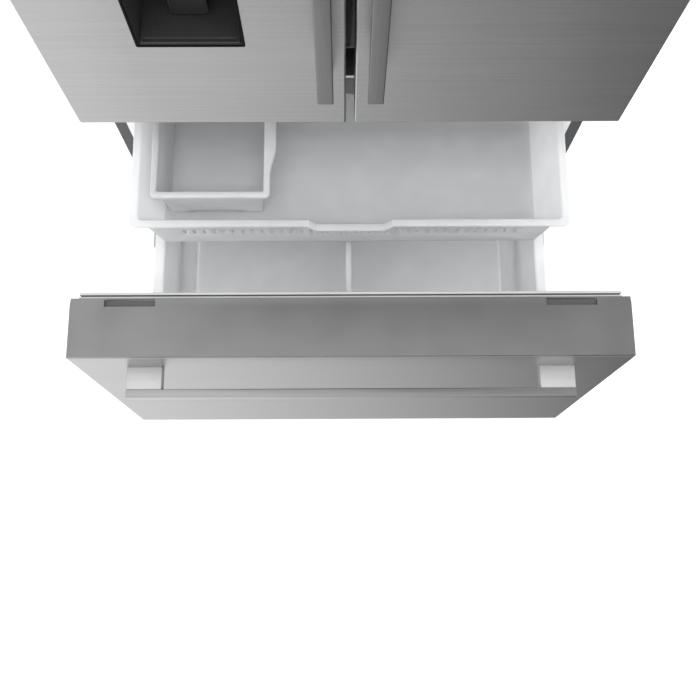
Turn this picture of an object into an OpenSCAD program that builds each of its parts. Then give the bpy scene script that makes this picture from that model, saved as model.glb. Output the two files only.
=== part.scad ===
// French door refrigerator with a bottom freezer drawer.
// Front of the closed doors lies on y = 0 before the last shift, the floor on z = 0
// and the middle between the doors on x = 0. The freezer drawer is drawn pulled out.

/* [Overall] */
// Width across the doors and cabinet
fridge_width = 908; // [820:1:1000]
// Height of the cabinet top above the floor
cabinet_height = 1752; // [1600:1:1900]
// Depth of the cabinet behind the doors
cabinet_depth = 610; // [560:1:700]
// Height of the freezer drawer front
drawer_height = 575; // [520:1:620]
// Clear height of the toe space under the drawer
toe_height = 75; // [65:1:100]

/* [Doors] */
// Thickness of the doors and the drawer front
door_thickness = 100; // [80:1:120]
// Gap between the two upper doors
middle_gap = 14.4; // [12:0.2:20]
// Gap between the upper doors and the drawer
level_gap = 12.5; // [10:0.5:16]
// Radius of the front edges of the steel skins
edge_radius = 3; // [1:0.5:6]
// Sheet thickness of the steel skins
skin_sheet = 1.2; // [0.8:0.1:2]
// Thickness of the plastic inner door panels
panel_sheet = 6; // [4:0.5:8]
// Thickness of the magnetic gaskets
gasket_depth = 12; // [9:0.5:16]
// Width of the gasket band
gasket_band = 18; // [14:1:24]
// Clearance left in front of the cabinet face by a closed gasket
seal_clear = 2; // [1:0.5:4]
// Distance of the hinge axis from the door side
hinge_inset = 20; // [16:1:26]
// Distance of the hinge axis in front of the cabinet face
hinge_forward = 38; // [34:1:46]

/* [Handles] */
// Width of the handle bars across their front face
bar_width = 24; // [16:1:32]
// Depth of the handle bars
bar_depth = 14; // [10:1:18]
// Distance from the door face to the back of a bar
bar_standoff = 37; // [30:1:50]
// Length of the end posts along the bar
post_length = 58; // [30:1:70]
// Distance from the middle line to a door bar
bar_inset = 26; // [20:1:60]
// Distance of the door bar ends from the door ends
bar_end = 150; // [100:5:250]
// Distance from the drawer side to the end of its bar
drawer_bar_inset = 83; // [50:1:160]
// Distance from the drawer top to the drawer bar
drawer_bar_drop = 63; // [50:1:120]

/* [Dispenser] */
// Width of the dispenser
dispenser_width = 157.6; // [120:0.2:200]
// Distance from the middle line to the dispenser
dispenser_inset = 152; // [120:1:180]
// Height of the dispenser bottom above the door bottom
dispenser_rise = 226.5; // [150:0.5:400]
// Height of the whole dispenser
dispenser_height = 350; // [280:5:420]
// Height of the open recess
recess_height = 212; // [160:1:240]
// Thickness of the door left behind the recess
recess_back = 13; // [8:1:40]
// Width of the bezel around the recess
bezel = 4.5; // [3:0.5:12]
// Width of the dispenser paddle
paddle_width = 55; // [30:1:60]

/* [Freezer drawer] */
// Distance the drawer is pulled out
drawer_out = 405; // [0:1:430]
// Share of the drawer travel taken by the upper basket
basket_share = 0.6864; // [0.5:0.01:0.8]
// Clearance between the upper basket rim and the liner
basket_clear = 18; // [15:1:30]
// Clearance behind the upper basket when closed
basket_behind = 84; // [20:2:120]
// Height of the upper basket
basket_height = 110; // [80:1:120]
// Drop of the upper basket rim below the drawer top
basket_drop = 100; // [98:1:120]
// Width of the upper basket rim
basket_rim = 15; // [10:1:20]
// Wall thickness of the upper basket
basket_wall = 2.5; // [2:0.1:4]
// Pitch of the slots in the basket front
slot_pitch = 17.7; // [15:0.1:24]
// Width of each slot
slot_width = 5.5; // [4:0.1:8]
// Clearance between the lower bin rim and the liner
bin_clear = 40; // [36:1:60]
// Clearance behind the lower bin when closed
bin_behind = 9; // [5:1:60]
// Drop of the lower bin rim below the drawer top
bin_drop = 222; // [218:1:280]
// Width of the lower bin rim
bin_rim = 20; // [12:1:26]
// Thickness of the bin divider at its top
divider_width = 11; // [8:0.5:16]
// Width of the ice bucket over its rim
bucket_width = 215; // [160:1:260]
// Share of the basket depth taken by the ice bucket
bucket_share = 0.755; // [0.5:0.005:0.78]

/* [Cabinet] */
// Thickness of the insulated side walls
wall = 45; // [38:1:60]
// Thickness of the insulated back wall
back_wall = 60; // [50:1:80]
// Width of the painted flange around the cabinet front
flange = 22.4; // [18:0.2:28]
// Thickness of the liners
liner_sheet = 2.5; // [2:0.1:4]
// Height of the cross member between the compartments
cross_height = 132; // [110:1:150]
// Depth of the machine space at the back
machine_depth = 164; // [164:1:180]
// Height of the machine space
machine_height = 200; // [190:1:240]

/* [Interior] */
// Height of the crisper drawers
crisper_height = 180; // [120:5:200]
// Distance of the crisper fronts behind the shelf edges
crisper_setback = 77; // [60:1:120]
// Thickness of the shelf glass
glass_sheet = 4; // [3:0.5:6]
// Depth of the door bins
door_bin_depth = 95; // [70:1:100]
// Height of the door bins
door_bin_height = 90; // [60:1:110]

/* [Hidden] */

$fn = 48;
loft_fn = 24;
sliver = 0.4;
past = 5;
front_sheet = 2;
half = fridge_width / 2;
gap_half = middle_gap / 2;

// levels
drawer_bottom = toe_height;
drawer_top = toe_height + drawer_height;
door_bottom = drawer_top + level_gap;
door_lid_gap = 2;
door_top = cabinet_height - door_lid_gap;
cross_drop = 87;
cross_bottom = drawer_top - cross_drop;
cross_top = cross_bottom + cross_height;
lip = 8;
freezer_top = cross_bottom - lip;
fridge_floor = cross_top + lip;
top_wall = 55;
fridge_ceiling = cabinet_height - top_wall;
base_top = toe_height - 13;
frame_height = 32;
frame_bottom = base_top - frame_height;
floor_wall = 48;
freezer_floor = base_top + floor_wall;
machine_top = base_top + machine_height;

// depths
skin_depth = door_thickness - panel_sheet;
cab_front = door_thickness + gasket_depth + seal_clear;
cab_back = cab_front + cabinet_depth;
back_sheet = 1;
cavity_back = cab_back - back_wall;
machine_front = cab_back - machine_depth;
machine_wall = 40;
side_fin = 12;
sump_back = machine_front - machine_wall;
step_top = machine_top + machine_wall;
cavity_half = half - wall;
lip_half = half - flange;

// pose and shift to the shared frame
basket_out = drawer_out * basket_share;
slide_share = 0.5;
slide_out = drawer_out * slide_share;
front_most = -drawer_out - bar_standoff - bar_depth;
middle_y = (cab_back + front_most) / 2;

// hinges
hinge_x = half - hinge_inset;
hinge_y = cab_front - hinge_forward;
pin_radius = 5;
pin_clear = 0.06;
pin_reach = 14;
hinge_plate = 5;

// basket, bin and bucket
basket_top = drawer_top - basket_drop;
basket_bottom = basket_top - basket_height;
basket_half = cavity_half - basket_clear;
basket_front = cab_front + 21;
basket_length = cavity_back - basket_behind - basket_front;
basket_taper = 26;
basket_radius = 20;
rim_sheet = 5;
bin_top = drawer_top - bin_drop;
bin_bottom = freezer_floor + 12;
bin_half = cavity_half - bin_clear;
bin_front = door_thickness + 11;
bin_length = sump_back - bin_behind - bin_front;
bin_wall = 3;
bin_taper = 12;

// drawer slides
rail_width = 12;
mid_width = 7;
slide_clear = 1;
slide_bottom = bin_bottom + 0.43 * (bin_top - bin_bottom);
slide_height = 40;
rail_in = cavity_half - rail_width;
mid_in = rail_in - slide_clear - mid_width;
inner_in = mid_in - slide_clear - mid_width;

module box(x0, x1, y0, y1, z0, z1) translate([x0, y0, z0]) cube([x1 - x0, y1 - y0, z1 - z0]);
module both() { children(); mirror([1, 0, 0]) children(); }
module placed() translate([0, -middle_y, 0]) children();
module pulled(d) placed() translate([0, -d, 0]) children();
// rounded rectangle made of squares and circles
module pad(x0, x1, y0, y1, r) {
  translate([x0 + r, y0]) square([x1 - x0 - 2 * r, y1 - y0]);
  translate([x0, y0 + r]) square([x1 - x0, y1 - y0 - 2 * r]);
  for (x = [x0 + r, x1 - r], y = [y0 + r, y1 - r]) translate([x, y]) circle(r);
}
// profile drawn in y and z, run along x
module along_x(x0, x1) translate([x0, 0, 0]) rotate([90, 0, 90]) linear_extrude(x1 - x0) children();
// profile drawn in x and z, run along y
module along_y(y0, y1) translate([0, y1, 0]) rotate([90, 0, 0]) linear_extrude(y1 - y0) children();
// solid whose footprint shrinks towards the bottom
module loft(top, bottom, z0, z1, r) hull() {
  translate([0, 0, z1 - sliver]) linear_extrude(sliver) pad(top[0], top[1], top[2], top[3], r, $fn = loft_fn);
  translate([0, 0, z0]) linear_extrude(sliver) pad(bottom[0], bottom[1], bottom[2], bottom[3], r, $fn = loft_fn);
}
// open tub with sloping walls
module tub(top, bottom, z0, z1, r, t) difference() {
  loft(top, bottom, z0, z1, r);
  loft([top[0] + t, top[1] - t, top[2] + t, top[3] - t], [bottom[0] + t, bottom[1] - t, bottom[2] + t, bottom[3] - t], z0 + t, z1 + sliver / 2, r - t);
  translate([0, 0, z1 - sliver]) linear_extrude(past) pad(top[0] + t, top[1] - t, top[2] + t, top[3] - t, r - t, $fn = loft_fn);
}

// ---------- cabinet ----------
module cabinet_shell() placed() color("dimgray") difference() {
  box(-half, half, cab_front, cab_back, base_top, cabinet_height);
  box(-half + skin_sheet, half - skin_sheet, cab_front + front_sheet, cab_back + past, base_top - past, cabinet_height - skin_sheet);
  box(-lip_half, lip_half, cab_front - past, cab_front + past, freezer_floor - lip, cabinet_height - flange);
}
module sump_profile(g) polygon([[cab_front - past, freezer_floor - g], [sump_back + g, freezer_floor - g], [sump_back + g, step_top - g], [cavity_back + g, step_top - g], [cavity_back + g, freezer_top + g], [cab_front - past, freezer_top + g]]);
module fridge_space(g) box(-cavity_half - g, cavity_half + g, cab_front - past, cavity_back + g, fridge_floor - g, fridge_ceiling + g);
module cabinet_foam() placed() color("khaki") difference() {
  box(-half + skin_sheet, half - skin_sheet, cab_front + front_sheet, cab_back - back_sheet, base_top, cabinet_height - skin_sheet);
  fridge_space(liner_sheet);
  along_x(-cavity_half - liner_sheet, cavity_half + liner_sheet) sump_profile(liner_sheet);
  box(-half + side_fin, half - side_fin, machine_front, cab_back, base_top - past, machine_top);
}
module back_panel() placed() color("lightgray") box(-half + skin_sheet, half - skin_sheet, cab_back - back_sheet, cab_back, machine_top, cabinet_height - skin_sheet);
vent_pitch = 22;
vent_width = 8;
valve_x = half - 90;
valve_z = base_top + 120;
valve_radius = 12;
module machine_cover() placed() color("gray") difference() {
  box(-half + skin_sheet, half - skin_sheet, cab_back - back_sheet, cab_back, base_top, machine_top);
  vents = floor((fridge_width - 300) / vent_pitch);
  for (i = [0:vents - 1], z = [0.2, 0.6]) translate([(i - (vents - 1) / 2) * vent_pitch - 60, 0, base_top + z * machine_height])
    box(-vent_width / 2, vent_width / 2, cab_back - past, cab_back + past, 0, machine_height / 5);
  translate([valve_x, cab_back - past, valve_z]) rotate([-90, 0, 0]) cylinder(r = 2 * valve_radius + 2, h = 2 * past);
}
module fridge_liner() placed() color("white") difference() {
  union() {
    intersection() { fridge_space(liner_sheet); box(-half, half, cab_front + sliver, cab_back, 0, cabinet_height); }
    box(-lip_half, lip_half, cab_front, cab_front + front_sheet, cross_top, cabinet_height - flange);
  }
  fridge_space(0);
}
module freezer_liner() placed() color("white") difference() {
  union() {
    intersection() {
      along_x(-cavity_half - liner_sheet, cavity_half + liner_sheet) sump_profile(liner_sheet);
      box(-half, half, cab_front + sliver, cab_back, 0, cabinet_height);
    }
    box(-lip_half, lip_half, cab_front, cab_front + front_sheet, freezer_floor - lip, cross_bottom);
  }
  along_x(-cavity_half, cavity_half) sump_profile(0);
}
module crossmember() placed() color("dimgray") box(-lip_half, lip_half, cab_front, cab_front + front_sheet, cross_bottom, cross_top);

// ---------- base ----------
beam = 26;
beam_x = half - 4;
foot_y = cab_front + 26;
foot_x = half - 60;
foot_radius = 20;
foot_disc = 10;
stem_radius = 6;
roller_y = cab_back - 44;
roller_radius = 22;
roller_x = half - 60;
roller_width = 18;
fork = 3;
axle_radius = 5;
axle_clear = 0.06;
side_clear = 0.6;
module base_frame() placed() color("silver") difference() {
  union() {
    both() box(beam_x - beam, beam_x, cab_front + 4, cab_back - 4, frame_bottom, base_top);
    for (y = [cab_front + 4, cab_back - 4 - beam]) box(-beam_x, beam_x, y, y + beam, frame_bottom, base_top);
    both() box(foot_x - beam, beam_x, cab_front + 4, foot_y + beam, frame_bottom, base_top);
    box(-beam_x, beam_x, machine_front, cab_back - 4, base_top - 3, base_top);
    both() for (x = [roller_x - roller_width / 2 - side_clear - fork, roller_x + roller_width / 2 + side_clear])
      box(x, x + fork, roller_y - 16, roller_y + 16, frame_bottom - 20, base_top - 3);
  }
  both() translate([foot_x, foot_y, frame_bottom - past]) cylinder(r = stem_radius, h = frame_height / 2 + past);
  both() box(roller_x - roller_width / 2 - side_clear, roller_x + roller_width / 2 + side_clear, roller_y - roller_radius - 4, cab_back + past, frame_bottom - 30, base_top - 3);
  both() translate([roller_x - beam, roller_y, roller_radius]) rotate([0, 90, 0]) cylinder(r = axle_radius + axle_clear, h = 2 * beam);
}
module toe_grille() placed() color("black") difference() {
  box(-half + 8, half - 8, cab_front + 1 - 20, cab_front - 16 + 20, 14, base_top - 2);
  box(-half + 12, half - 12, cab_front + 3 - 17, cab_front + 40, 10, base_top + past);
  slats = floor((fridge_width - 120) / vent_pitch);
  for (i = [0:slats - 1]) translate([(i - (slats - 1) / 2) * vent_pitch, 0, 0]) box(-vent_width / 2, vent_width / 2, 0, cab_front - 2, 24, base_top - 12);
}
module levelling_feet() placed() color("black") both() translate([foot_x, foot_y, 0]) {
  cylinder(r1 = foot_radius - 2, r2 = foot_radius, h = 2);
  translate([0, 0, 2]) cylinder(r = foot_radius, h = foot_disc - 2);
  cylinder(r = stem_radius, h = frame_bottom + frame_height / 2);
}
module rear_rollers() placed() color("black") both() translate([roller_x, roller_y, roller_radius]) rotate([0, 90, 0]) {
  translate([0, 0, -roller_width / 2]) cylinder(r = roller_radius, h = roller_width);
  translate([0, 0, -roller_width / 2 - side_clear - fork]) cylinder(r = axle_radius, h = roller_width + 2 * (side_clear + fork));
}
compressor_radius = 74;
compressor_x = -half + 190;
compressor_y = machine_front + machine_depth / 2;
module compressor() placed() color("black") translate([compressor_x, compressor_y, base_top]) {
  translate([0, 0, 22]) cylinder(r = compressor_radius, h = 90);
  translate([0, 0, 112]) scale([1, 1, 0.5]) sphere(r = compressor_radius);
  for (x = [-90, 90], y = [-50, 50]) translate([x, y, 0]) cylinder(r = 14, h = 22);
  for (x = [-90, 90]) box(x - 14, x + 14, -64, 64, 18, 24);
  box(-90, 90, -14, 14, 18, 24);
}
condenser_x = 60;
fin_pitch = 12;
fin_count = 16;
module condenser() placed() color("dimgray") {
  for (i = [0:fin_count - 1]) box(condenser_x + i * fin_pitch, condenser_x + i * fin_pitch + 1.5, compressor_y - 40, compressor_y + 40, base_top, base_top + 120);
  for (y = [-20, 20], z = [25, 60, 95]) translate([condenser_x - 8, compressor_y + y, base_top + z]) rotate([0, 90, 0]) cylinder(r = 4, h = fin_pitch * (fin_count - 1) + 18, $fn = 24);
}
module water_valve() placed() color("white") {
  box(valve_x - 22, valve_x + 22, cab_back - 70, cab_back - 24, base_top, valve_z + 22);
  translate([valve_x, cab_back - 24, valve_z]) rotate([-90, 0, 0]) cylinder(r = valve_radius, h = 24);
}

// ---------- hinges ----------
module top_hinges() placed() color("silver") both() {
  box(hinge_x - 14, hinge_x + 14, hinge_y - 14, cab_front + 80, cabinet_height, cabinet_height + hinge_plate);
  translate([hinge_x, hinge_y, door_top - pin_reach]) cylinder(r = pin_radius, h = pin_reach + door_lid_gap + hinge_plate);
}
middle_plate_top = door_bottom - 3;
module middle_hinges() placed() color("silver") both() {
  box(hinge_x - 14, hinge_x + 10, hinge_y - 12, cab_front, middle_plate_top - hinge_plate, middle_plate_top);
  translate([hinge_x, hinge_y, middle_plate_top - hinge_plate]) cylinder(r = pin_radius, h = pin_reach + hinge_plate + 3);
  translate([hinge_x, hinge_y, middle_plate_top]) cylinder(r = 2 * pin_radius, h = door_bottom - middle_plate_top - 0.3);
}
cover_height = 23;
module hinge_covers() placed() color("dimgray") both() difference() {
  box(hinge_x - 34, half - 2, hinge_y - 24, cab_front + 100, cabinet_height, cabinet_height + cover_height);
  box(hinge_x - 31, half - 5, hinge_y - 21, cab_front + 97, cabinet_height - past, cabinet_height + cover_height - 3);
}

// ---------- fridge interior ----------
shelf_front = cab_front + 100;
track_depth = 8;
shelf_back = cavity_back - track_depth;
shelf_in = 8;
shelf_out = cavity_half - 4;
frame_depth = 12;
shelf_levels = [[-1, 0.30], [-1, 0.64], [1, 0.36], [1, 0.70]];
shelf_border = 16;
crisper_bottom = fridge_floor + 3;
crisper_top = crisper_bottom + crisper_height;
cover_bottom = crisper_top + 5;
cover_top = cover_bottom + 6;
function level(f) = cover_top + f * (fridge_ceiling - cover_top);
track_bottom = level(0.05);
module shelf_tracks() placed() color("silver")
  for (x = [-shelf_out + 10, 0, shelf_out - 10]) box(x - 9, x + 9, shelf_back, cavity_back, track_bottom, level(0.95));
module shelf_area(s, in, out, y0, y1, z0, z1) box(s > 0 ? in : -out, s > 0 ? out : -in, y0, y1, z0, z1);
module shelf_frames() placed() color("whitesmoke") for (s = shelf_levels) difference() {
  union() {
    shelf_area(s[0], shelf_in, shelf_out, shelf_front, shelf_back - 14, level(s[1]), level(s[1]) + frame_depth);
    for (x = [shelf_in, shelf_out - 6]) hull() {
      shelf_area(s[0], x, x + 6, shelf_back - 16, shelf_back, level(s[1]) - 34, level(s[1]) + frame_depth);
      shelf_area(s[0], x, x + 6, shelf_front + 120, shelf_front + 124, level(s[1]), level(s[1]) + frame_depth);
    }
  }
  shelf_area(s[0], shelf_in + shelf_border, shelf_out - shelf_border, shelf_front + shelf_border, shelf_back - 14 - shelf_border, level(s[1]) - 1, level(s[1]) + 20);
  shelf_area(s[0], shelf_in + 7, shelf_out - 7, shelf_front + 4, shelf_back - 18, level(s[1]) + frame_depth - glass_sheet - 1, level(s[1]) + 20);
}
module shelf_glass() placed() color("lightblue") for (s = shelf_levels)
  shelf_area(s[0], shelf_in + 7, shelf_out - 7, shelf_front + 4, shelf_back - 18, level(s[1]) + frame_depth - glass_sheet - 1, level(s[1]) + frame_depth - 1);
crisper_back = shelf_back - 6;
crisper_front = shelf_front + crisper_setback + 14;
cover_front = shelf_front;
module crisper_cover() placed() color("lightblue") {
  box(-cavity_half, cavity_half, cover_front, shelf_back, cover_bottom, cover_top);
  box(-3, 3, crisper_front + 10, shelf_back, fridge_floor, cover_bottom + 1);
  both() box(cavity_half - 5, cavity_half, crisper_front + 10, shelf_back, fridge_floor, cover_bottom + 1);
}
module crisper(s) {
  x0 = s > 0 ? 8 : -cavity_half + 12;
  x1 = s > 0 ? cavity_half - 12 : -8;
  tub([x0, x1, crisper_front, crisper_back], [x0 + 6, x1 - 6, crisper_front + 6, crisper_back - 6], crisper_bottom, crisper_top, 12, 2.5);
  difference() {
    box(x0, x1, crisper_front - 14, crisper_front + 4, crisper_top - 30, crisper_top);
    box(x0 + 4, x1 - 4, crisper_front - 10, crisper_front - 1, crisper_top - 40, crisper_top - 4);
  }
}
module left_crisper() placed() color("lightcyan") crisper(-1);
module right_crisper() placed() color("lightcyan") crisper(1);

// ---------- freezer rails ----------
rail_front = cab_front + 6;
module drawer_rails() placed() color("silver") both() difference() {
  box(rail_in, cavity_half, rail_front, sump_back - 3, slide_bottom, slide_bottom + slide_height);
  box(rail_in - 1, cavity_half - 3, rail_front - 1, sump_back, slide_bottom + 5, slide_bottom + slide_height - 5);
}
module middle_slides() pulled(slide_out) color("gainsboro") both() {
  box(mid_in, mid_in + mid_width, rail_front, sump_back - 10, slide_bottom + 6, slide_bottom + slide_height - 6);
  box(mid_in + mid_width, cavity_half - 6, rail_front + 4, sump_back - 14, slide_bottom + 12, slide_bottom + slide_height - 12);
}
rail_top = basket_top - rim_sheet - 0.5;
basket_ledge = 10;
module basket_rails() placed() color("whitesmoke") both() {
  box(basket_half - basket_ledge, cavity_half, cab_front + 12, basket_front + basket_length + 20, rail_top - 6, rail_top);
  box(cavity_half - 6, cavity_half, cab_front + 12, basket_front + basket_length + 20, rail_top - 30, rail_top - 6);
}

// ---------- upper doors, drawn on the left ----------
core_bottom = door_bottom + skin_sheet;
core_top = door_top - skin_sheet;
recess_in = dispenser_inset + bezel;
recess_out = dispenser_inset + dispenser_width - bezel;
recess_floor = door_bottom + dispenser_rise + bezel;
recess_top = recess_floor + recess_height;
frame_top = door_bottom + dispenser_rise + dispenser_height;
recess_sheet = 3;
recess_depth = skin_depth - recess_sheet - recess_back;
module door_slab(y1, g) translate([0, 0, door_bottom + g]) linear_extrude(door_top - door_bottom - 2 * g) intersection() {
  pad(-half + g, -gap_half - g, g, y1 + 2 * edge_radius, edge_radius);
  translate([-half, -1]) square([half, y1 + 1]);
}
module hinge_bores() for (z = [[door_bottom - past, door_bottom + pin_reach + 2], [door_top - pin_reach - 2, door_top + past]])
  translate([-hinge_x, hinge_y, z[0]]) cylinder(r = pin_radius + pin_clear, h = z[1] - z[0]);
module recess_hole(y0, y1) box(-recess_out - recess_sheet, -recess_in + recess_sheet, y0, y1, recess_floor - recess_sheet, recess_top + recess_sheet);
module door_skin(dispenser) difference() {
  door_slab(skin_depth, 0);
  box(-half + skin_sheet, -gap_half - skin_sheet, skin_sheet, skin_depth + past, core_bottom, core_top);
  hinge_bores();
  if (dispenser) recess_hole(-past, past);
}
module door_core(dispenser) difference() {
  box(-half + skin_sheet, -gap_half - skin_sheet, skin_sheet, skin_depth, core_bottom, core_top);
  hinge_bores();
  if (dispenser) recess_hole(0, recess_depth + recess_sheet);
}
// pivot of the flipper mullion, held by two knuckles of the left panel
pivot_x = 38;
pivot_y = cab_front + 10;
pivot_radius = 2.5;
knuckle = 5;
flipper_bottom = fridge_floor + 14;
flipper_top = fridge_ceiling - 14;
module flipper_knuckles() for (z = [flipper_bottom - knuckle - 0.5, flipper_top + 0.5]) difference() {
  box(-dyke_in - 1, -pivot_x + 5, pivot_y - 6, pivot_y + 6, z, z + knuckle);
  translate([-pivot_x, pivot_y, z - past]) cylinder(r = pivot_radius + pin_clear, h = knuckle + 2 * past);
}
dyke = 10;
dyke_depth = 40;
dyke_out = cavity_half - 11;
dyke_in = 50;
dyke_bottom = fridge_floor + 6;
dyke_top = fridge_ceiling - 6;
module door_panel() {
  difference() {
    box(-half, -gap_half, skin_depth, door_thickness, door_bottom, door_top);
    hinge_bores();
  }
  difference() {
    box(-dyke_out, -dyke_in, door_thickness - 1, door_thickness + dyke_depth, dyke_bottom, dyke_top);
    box(-dyke_out + dyke, -dyke_in - dyke, door_thickness, door_thickness + dyke_depth + past, dyke_bottom + dyke, dyke_top - dyke);
  }
}
gasket_out = half - 14;
gasket_in = gap_half + 5;
gasket_bottom = cross_top - 24;
gasket_top = cabinet_height - 8;
groove = 3;
module ring(x0, x1, y0, y1, z0, z1, w) difference() {
  box(x0, x1, y0, y1, z0, z1);
  box(x0 + w, x1 - w, y0 - past, y1 + past, z0 + w, z1 - w);
}
// bellows gasket with a groove round its outside
module seal(x0, x1, z0, z1) difference() {
  ring(x0, x1, door_thickness, door_thickness + gasket_depth, z0, z1, gasket_band);
  difference() {
    box(x0 - past, x1 + past, door_thickness + 4.5, door_thickness + 4.5 + groove, z0 - past, z1 + past);
    box(x0 + groove, x1 - groove, door_thickness, door_thickness + gasket_depth, z0 + groove, z1 - groove);
  }
}
module door_gasket() seal(-gasket_out, -gasket_in, gasket_bottom, gasket_top);
bar_bottom = door_bottom + bar_end;
bar_top = door_top - bar_end;
bar_round = 2.5;
module door_bar() translate([0, 0, bar_bottom]) linear_extrude(bar_top - bar_bottom) pad(-bar_inset - bar_width, -bar_inset, -bar_standoff - bar_depth, -bar_standoff, bar_round);
module door_posts() for (z = [bar_bottom, bar_top - post_length]) box(-bar_inset - bar_width + 1, -bar_inset - 1, -bar_standoff, 0, z, z + post_length);
door_bin_levels = [0.04, 0.36, 0.68];
module door_bins() for (f = door_bin_levels) translate([0, 0, level(f)]) difference() {
  box(-dyke_out + dyke, -dyke_in - dyke, door_thickness, door_thickness + door_bin_depth, 0, door_bin_height);
  box(-dyke_out + dyke + 3, -dyke_in - dyke - 3, door_thickness + 3, door_thickness + door_bin_depth - 3, 3, door_bin_height + past);
}
module left_door_skin() placed() color("silver") door_skin(true);
module left_door_core() placed() color("khaki") door_core(true);
module left_door_panel() placed() color("white") { door_panel(); flipper_knuckles(); }
module left_door_gasket() placed() color("whitesmoke") door_gasket();
module left_handle_bar() placed() color("gray") door_bar();
module left_handle_posts() placed() color("lightgray") door_posts();
module left_door_bins() placed() color("lightcyan") door_bins();
module right_door_skin() placed() color("silver") mirror([1, 0, 0]) door_skin(false);
module right_door_core() placed() color("khaki") mirror([1, 0, 0]) door_core(false);
module right_door_panel() placed() color("white") mirror([1, 0, 0]) door_panel();
module right_door_gasket() placed() color("whitesmoke") mirror([1, 0, 0]) door_gasket();
module right_handle_bar() placed() color("gray") mirror([1, 0, 0]) door_bar();
module right_handle_posts() placed() color("lightgray") mirror([1, 0, 0]) door_posts();
module right_door_bins() placed() color("lightcyan") mirror([1, 0, 0]) door_bins();

// ---------- dispenser ----------
frame_proud = 1.5;
module dispenser_frame() placed() color("black") difference() {
  translate([0, skin_sheet, 0]) along_y(-frame_proud - skin_sheet, -skin_sheet)
    pad(-dispenser_inset - dispenser_width, -dispenser_inset, door_bottom + dispenser_rise, frame_top, 3);
  box(-recess_out, -recess_in, -past, past, recess_floor, recess_top);
}
dispenser_x = -(recess_in + recess_out) / 2;
paddle_y = 42;
paddle_sheet = 3;
paddle_pivot = recess_top - 14;
paddle_pin = 3;
ear = 5;
ear_gap = 0.5;
module dispenser_recess() placed() color("black") {
  difference() {
    recess_hole(0, recess_depth + recess_sheet);
    box(-recess_out, -recess_in, -past, recess_depth, recess_floor, recess_top);
  }
  for (s = [-1, 1]) translate([dispenser_x + s * (paddle_width / 2 + ear_gap + ear / 2), paddle_y + paddle_sheet / 2, 0]) difference() {
    box(-ear / 2, ear / 2, -6, 6, paddle_pivot - 6, recess_top + 1);
    translate([-ear, 0, paddle_pivot]) rotate([0, 90, 0]) cylinder(r = paddle_pin + pin_clear, h = 2 * ear);
  }
}
nozzle_y = 22;
module dispenser_nozzle() placed() color("dimgray") translate([dispenser_x, nozzle_y, 0]) {
  translate([0, 0, recess_top - 10]) cylinder(r = 15, h = 10);
  difference() {
    translate([0, 0, recess_top - 26]) cylinder(r1 = 9, r2 = 11, h = 17);
    translate([0, 0, recess_top - 27]) cylinder(r = 6, h = 12);
  }
}
tray_height = 4;
module dispenser_tray() placed() color("dimgray") difference() {
  box(-recess_out + 2, -recess_in - 2, 1, recess_depth - 2, recess_floor, recess_floor + tray_height);
  box(-recess_out + 7, -recess_in - 7, 3.5, 9, recess_floor + tray_height - 2, recess_floor + tray_height + 1);
}
module dispenser_paddle() placed() color("black") {
  box(dispenser_x - paddle_width / 2, dispenser_x + paddle_width / 2, paddle_y, paddle_y + paddle_sheet, recess_floor + tray_height + 7, paddle_pivot);
  translate([dispenser_x - paddle_width / 2 - ear_gap - ear, paddle_y + paddle_sheet / 2, paddle_pivot]) rotate([0, 90, 0]) cylinder(r = paddle_pin, h = paddle_width + 2 * (ear + ear_gap));
}

// ---------- flipper mullion on the left door ----------
flipper_end = gap_half - 4.7;
flipper_root = 40;
flipper_front = cab_front + 0.5;
flipper_depth = 18;
module flipper_mullion() placed() color("black") {
  box(-flipper_root, flipper_end, flipper_front, flipper_front + flipper_depth, flipper_bottom, flipper_top);
  translate([-pivot_x, pivot_y, flipper_bottom - knuckle - 0.5]) cylinder(r = pivot_radius, h = flipper_top - flipper_bottom + 2 * knuckle + 1);
}

// ---------- freezer drawer ----------
cap_height = 12;
cap_bottom = drawer_top - cap_height;
module drawer_slab(g, z1) translate([0, 0, drawer_bottom + g]) linear_extrude(z1 - drawer_bottom - g) intersection() {
  pad(-half + g, half - g, g, skin_depth + 2 * edge_radius, edge_radius);
  translate([-half, -1]) square([fridge_width, skin_depth + 1]);
}
module drawer_skin() pulled(drawer_out) color("silver") difference() {
  drawer_slab(0, drawer_top - 1.5);
  box(-half + skin_sheet, half - skin_sheet, skin_sheet, skin_depth + past, drawer_bottom + skin_sheet, drawer_top + past);
}
pocket_out = half - 56;
pocket_width = 82;
pocket_depth = 12;
module drawer_top_cap() pulled(drawer_out) color("gray") difference() {
  box(-half + skin_sheet, half - skin_sheet, skin_sheet, door_thickness, cap_bottom, drawer_top);
  box(-half, half, skin_sheet - 1, skin_sheet + 1, drawer_top - 3, drawer_top + past);
  both() box(pocket_out - pocket_width, pocket_out, door_thickness - 2 - pocket_depth, door_thickness - 2, drawer_top - 8, drawer_top + past);
}
module drawer_core() pulled(drawer_out) color("khaki") box(-half + skin_sheet, half - skin_sheet, skin_sheet, skin_depth, drawer_bottom + skin_sheet, cap_bottom);
module drawer_panel() pulled(drawer_out) color("white") {
  box(-half, half, skin_depth, door_thickness, drawer_bottom, cap_bottom);
  box(-inner_in + 14, inner_in - 14, door_thickness - 1, door_thickness + 9, freezer_floor + 14, freezer_top - 14);
}
drawer_gasket_top = drawer_top - 8;
drawer_gasket_bottom = drawer_bottom + 10;
module drawer_gasket() pulled(drawer_out) color("whitesmoke") seal(-half + 14, half - 14, drawer_gasket_bottom, drawer_gasket_top);
bar_z = drawer_top - drawer_bar_drop - bar_width;
drawer_bar = fridge_width - 2 * drawer_bar_inset;
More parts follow.
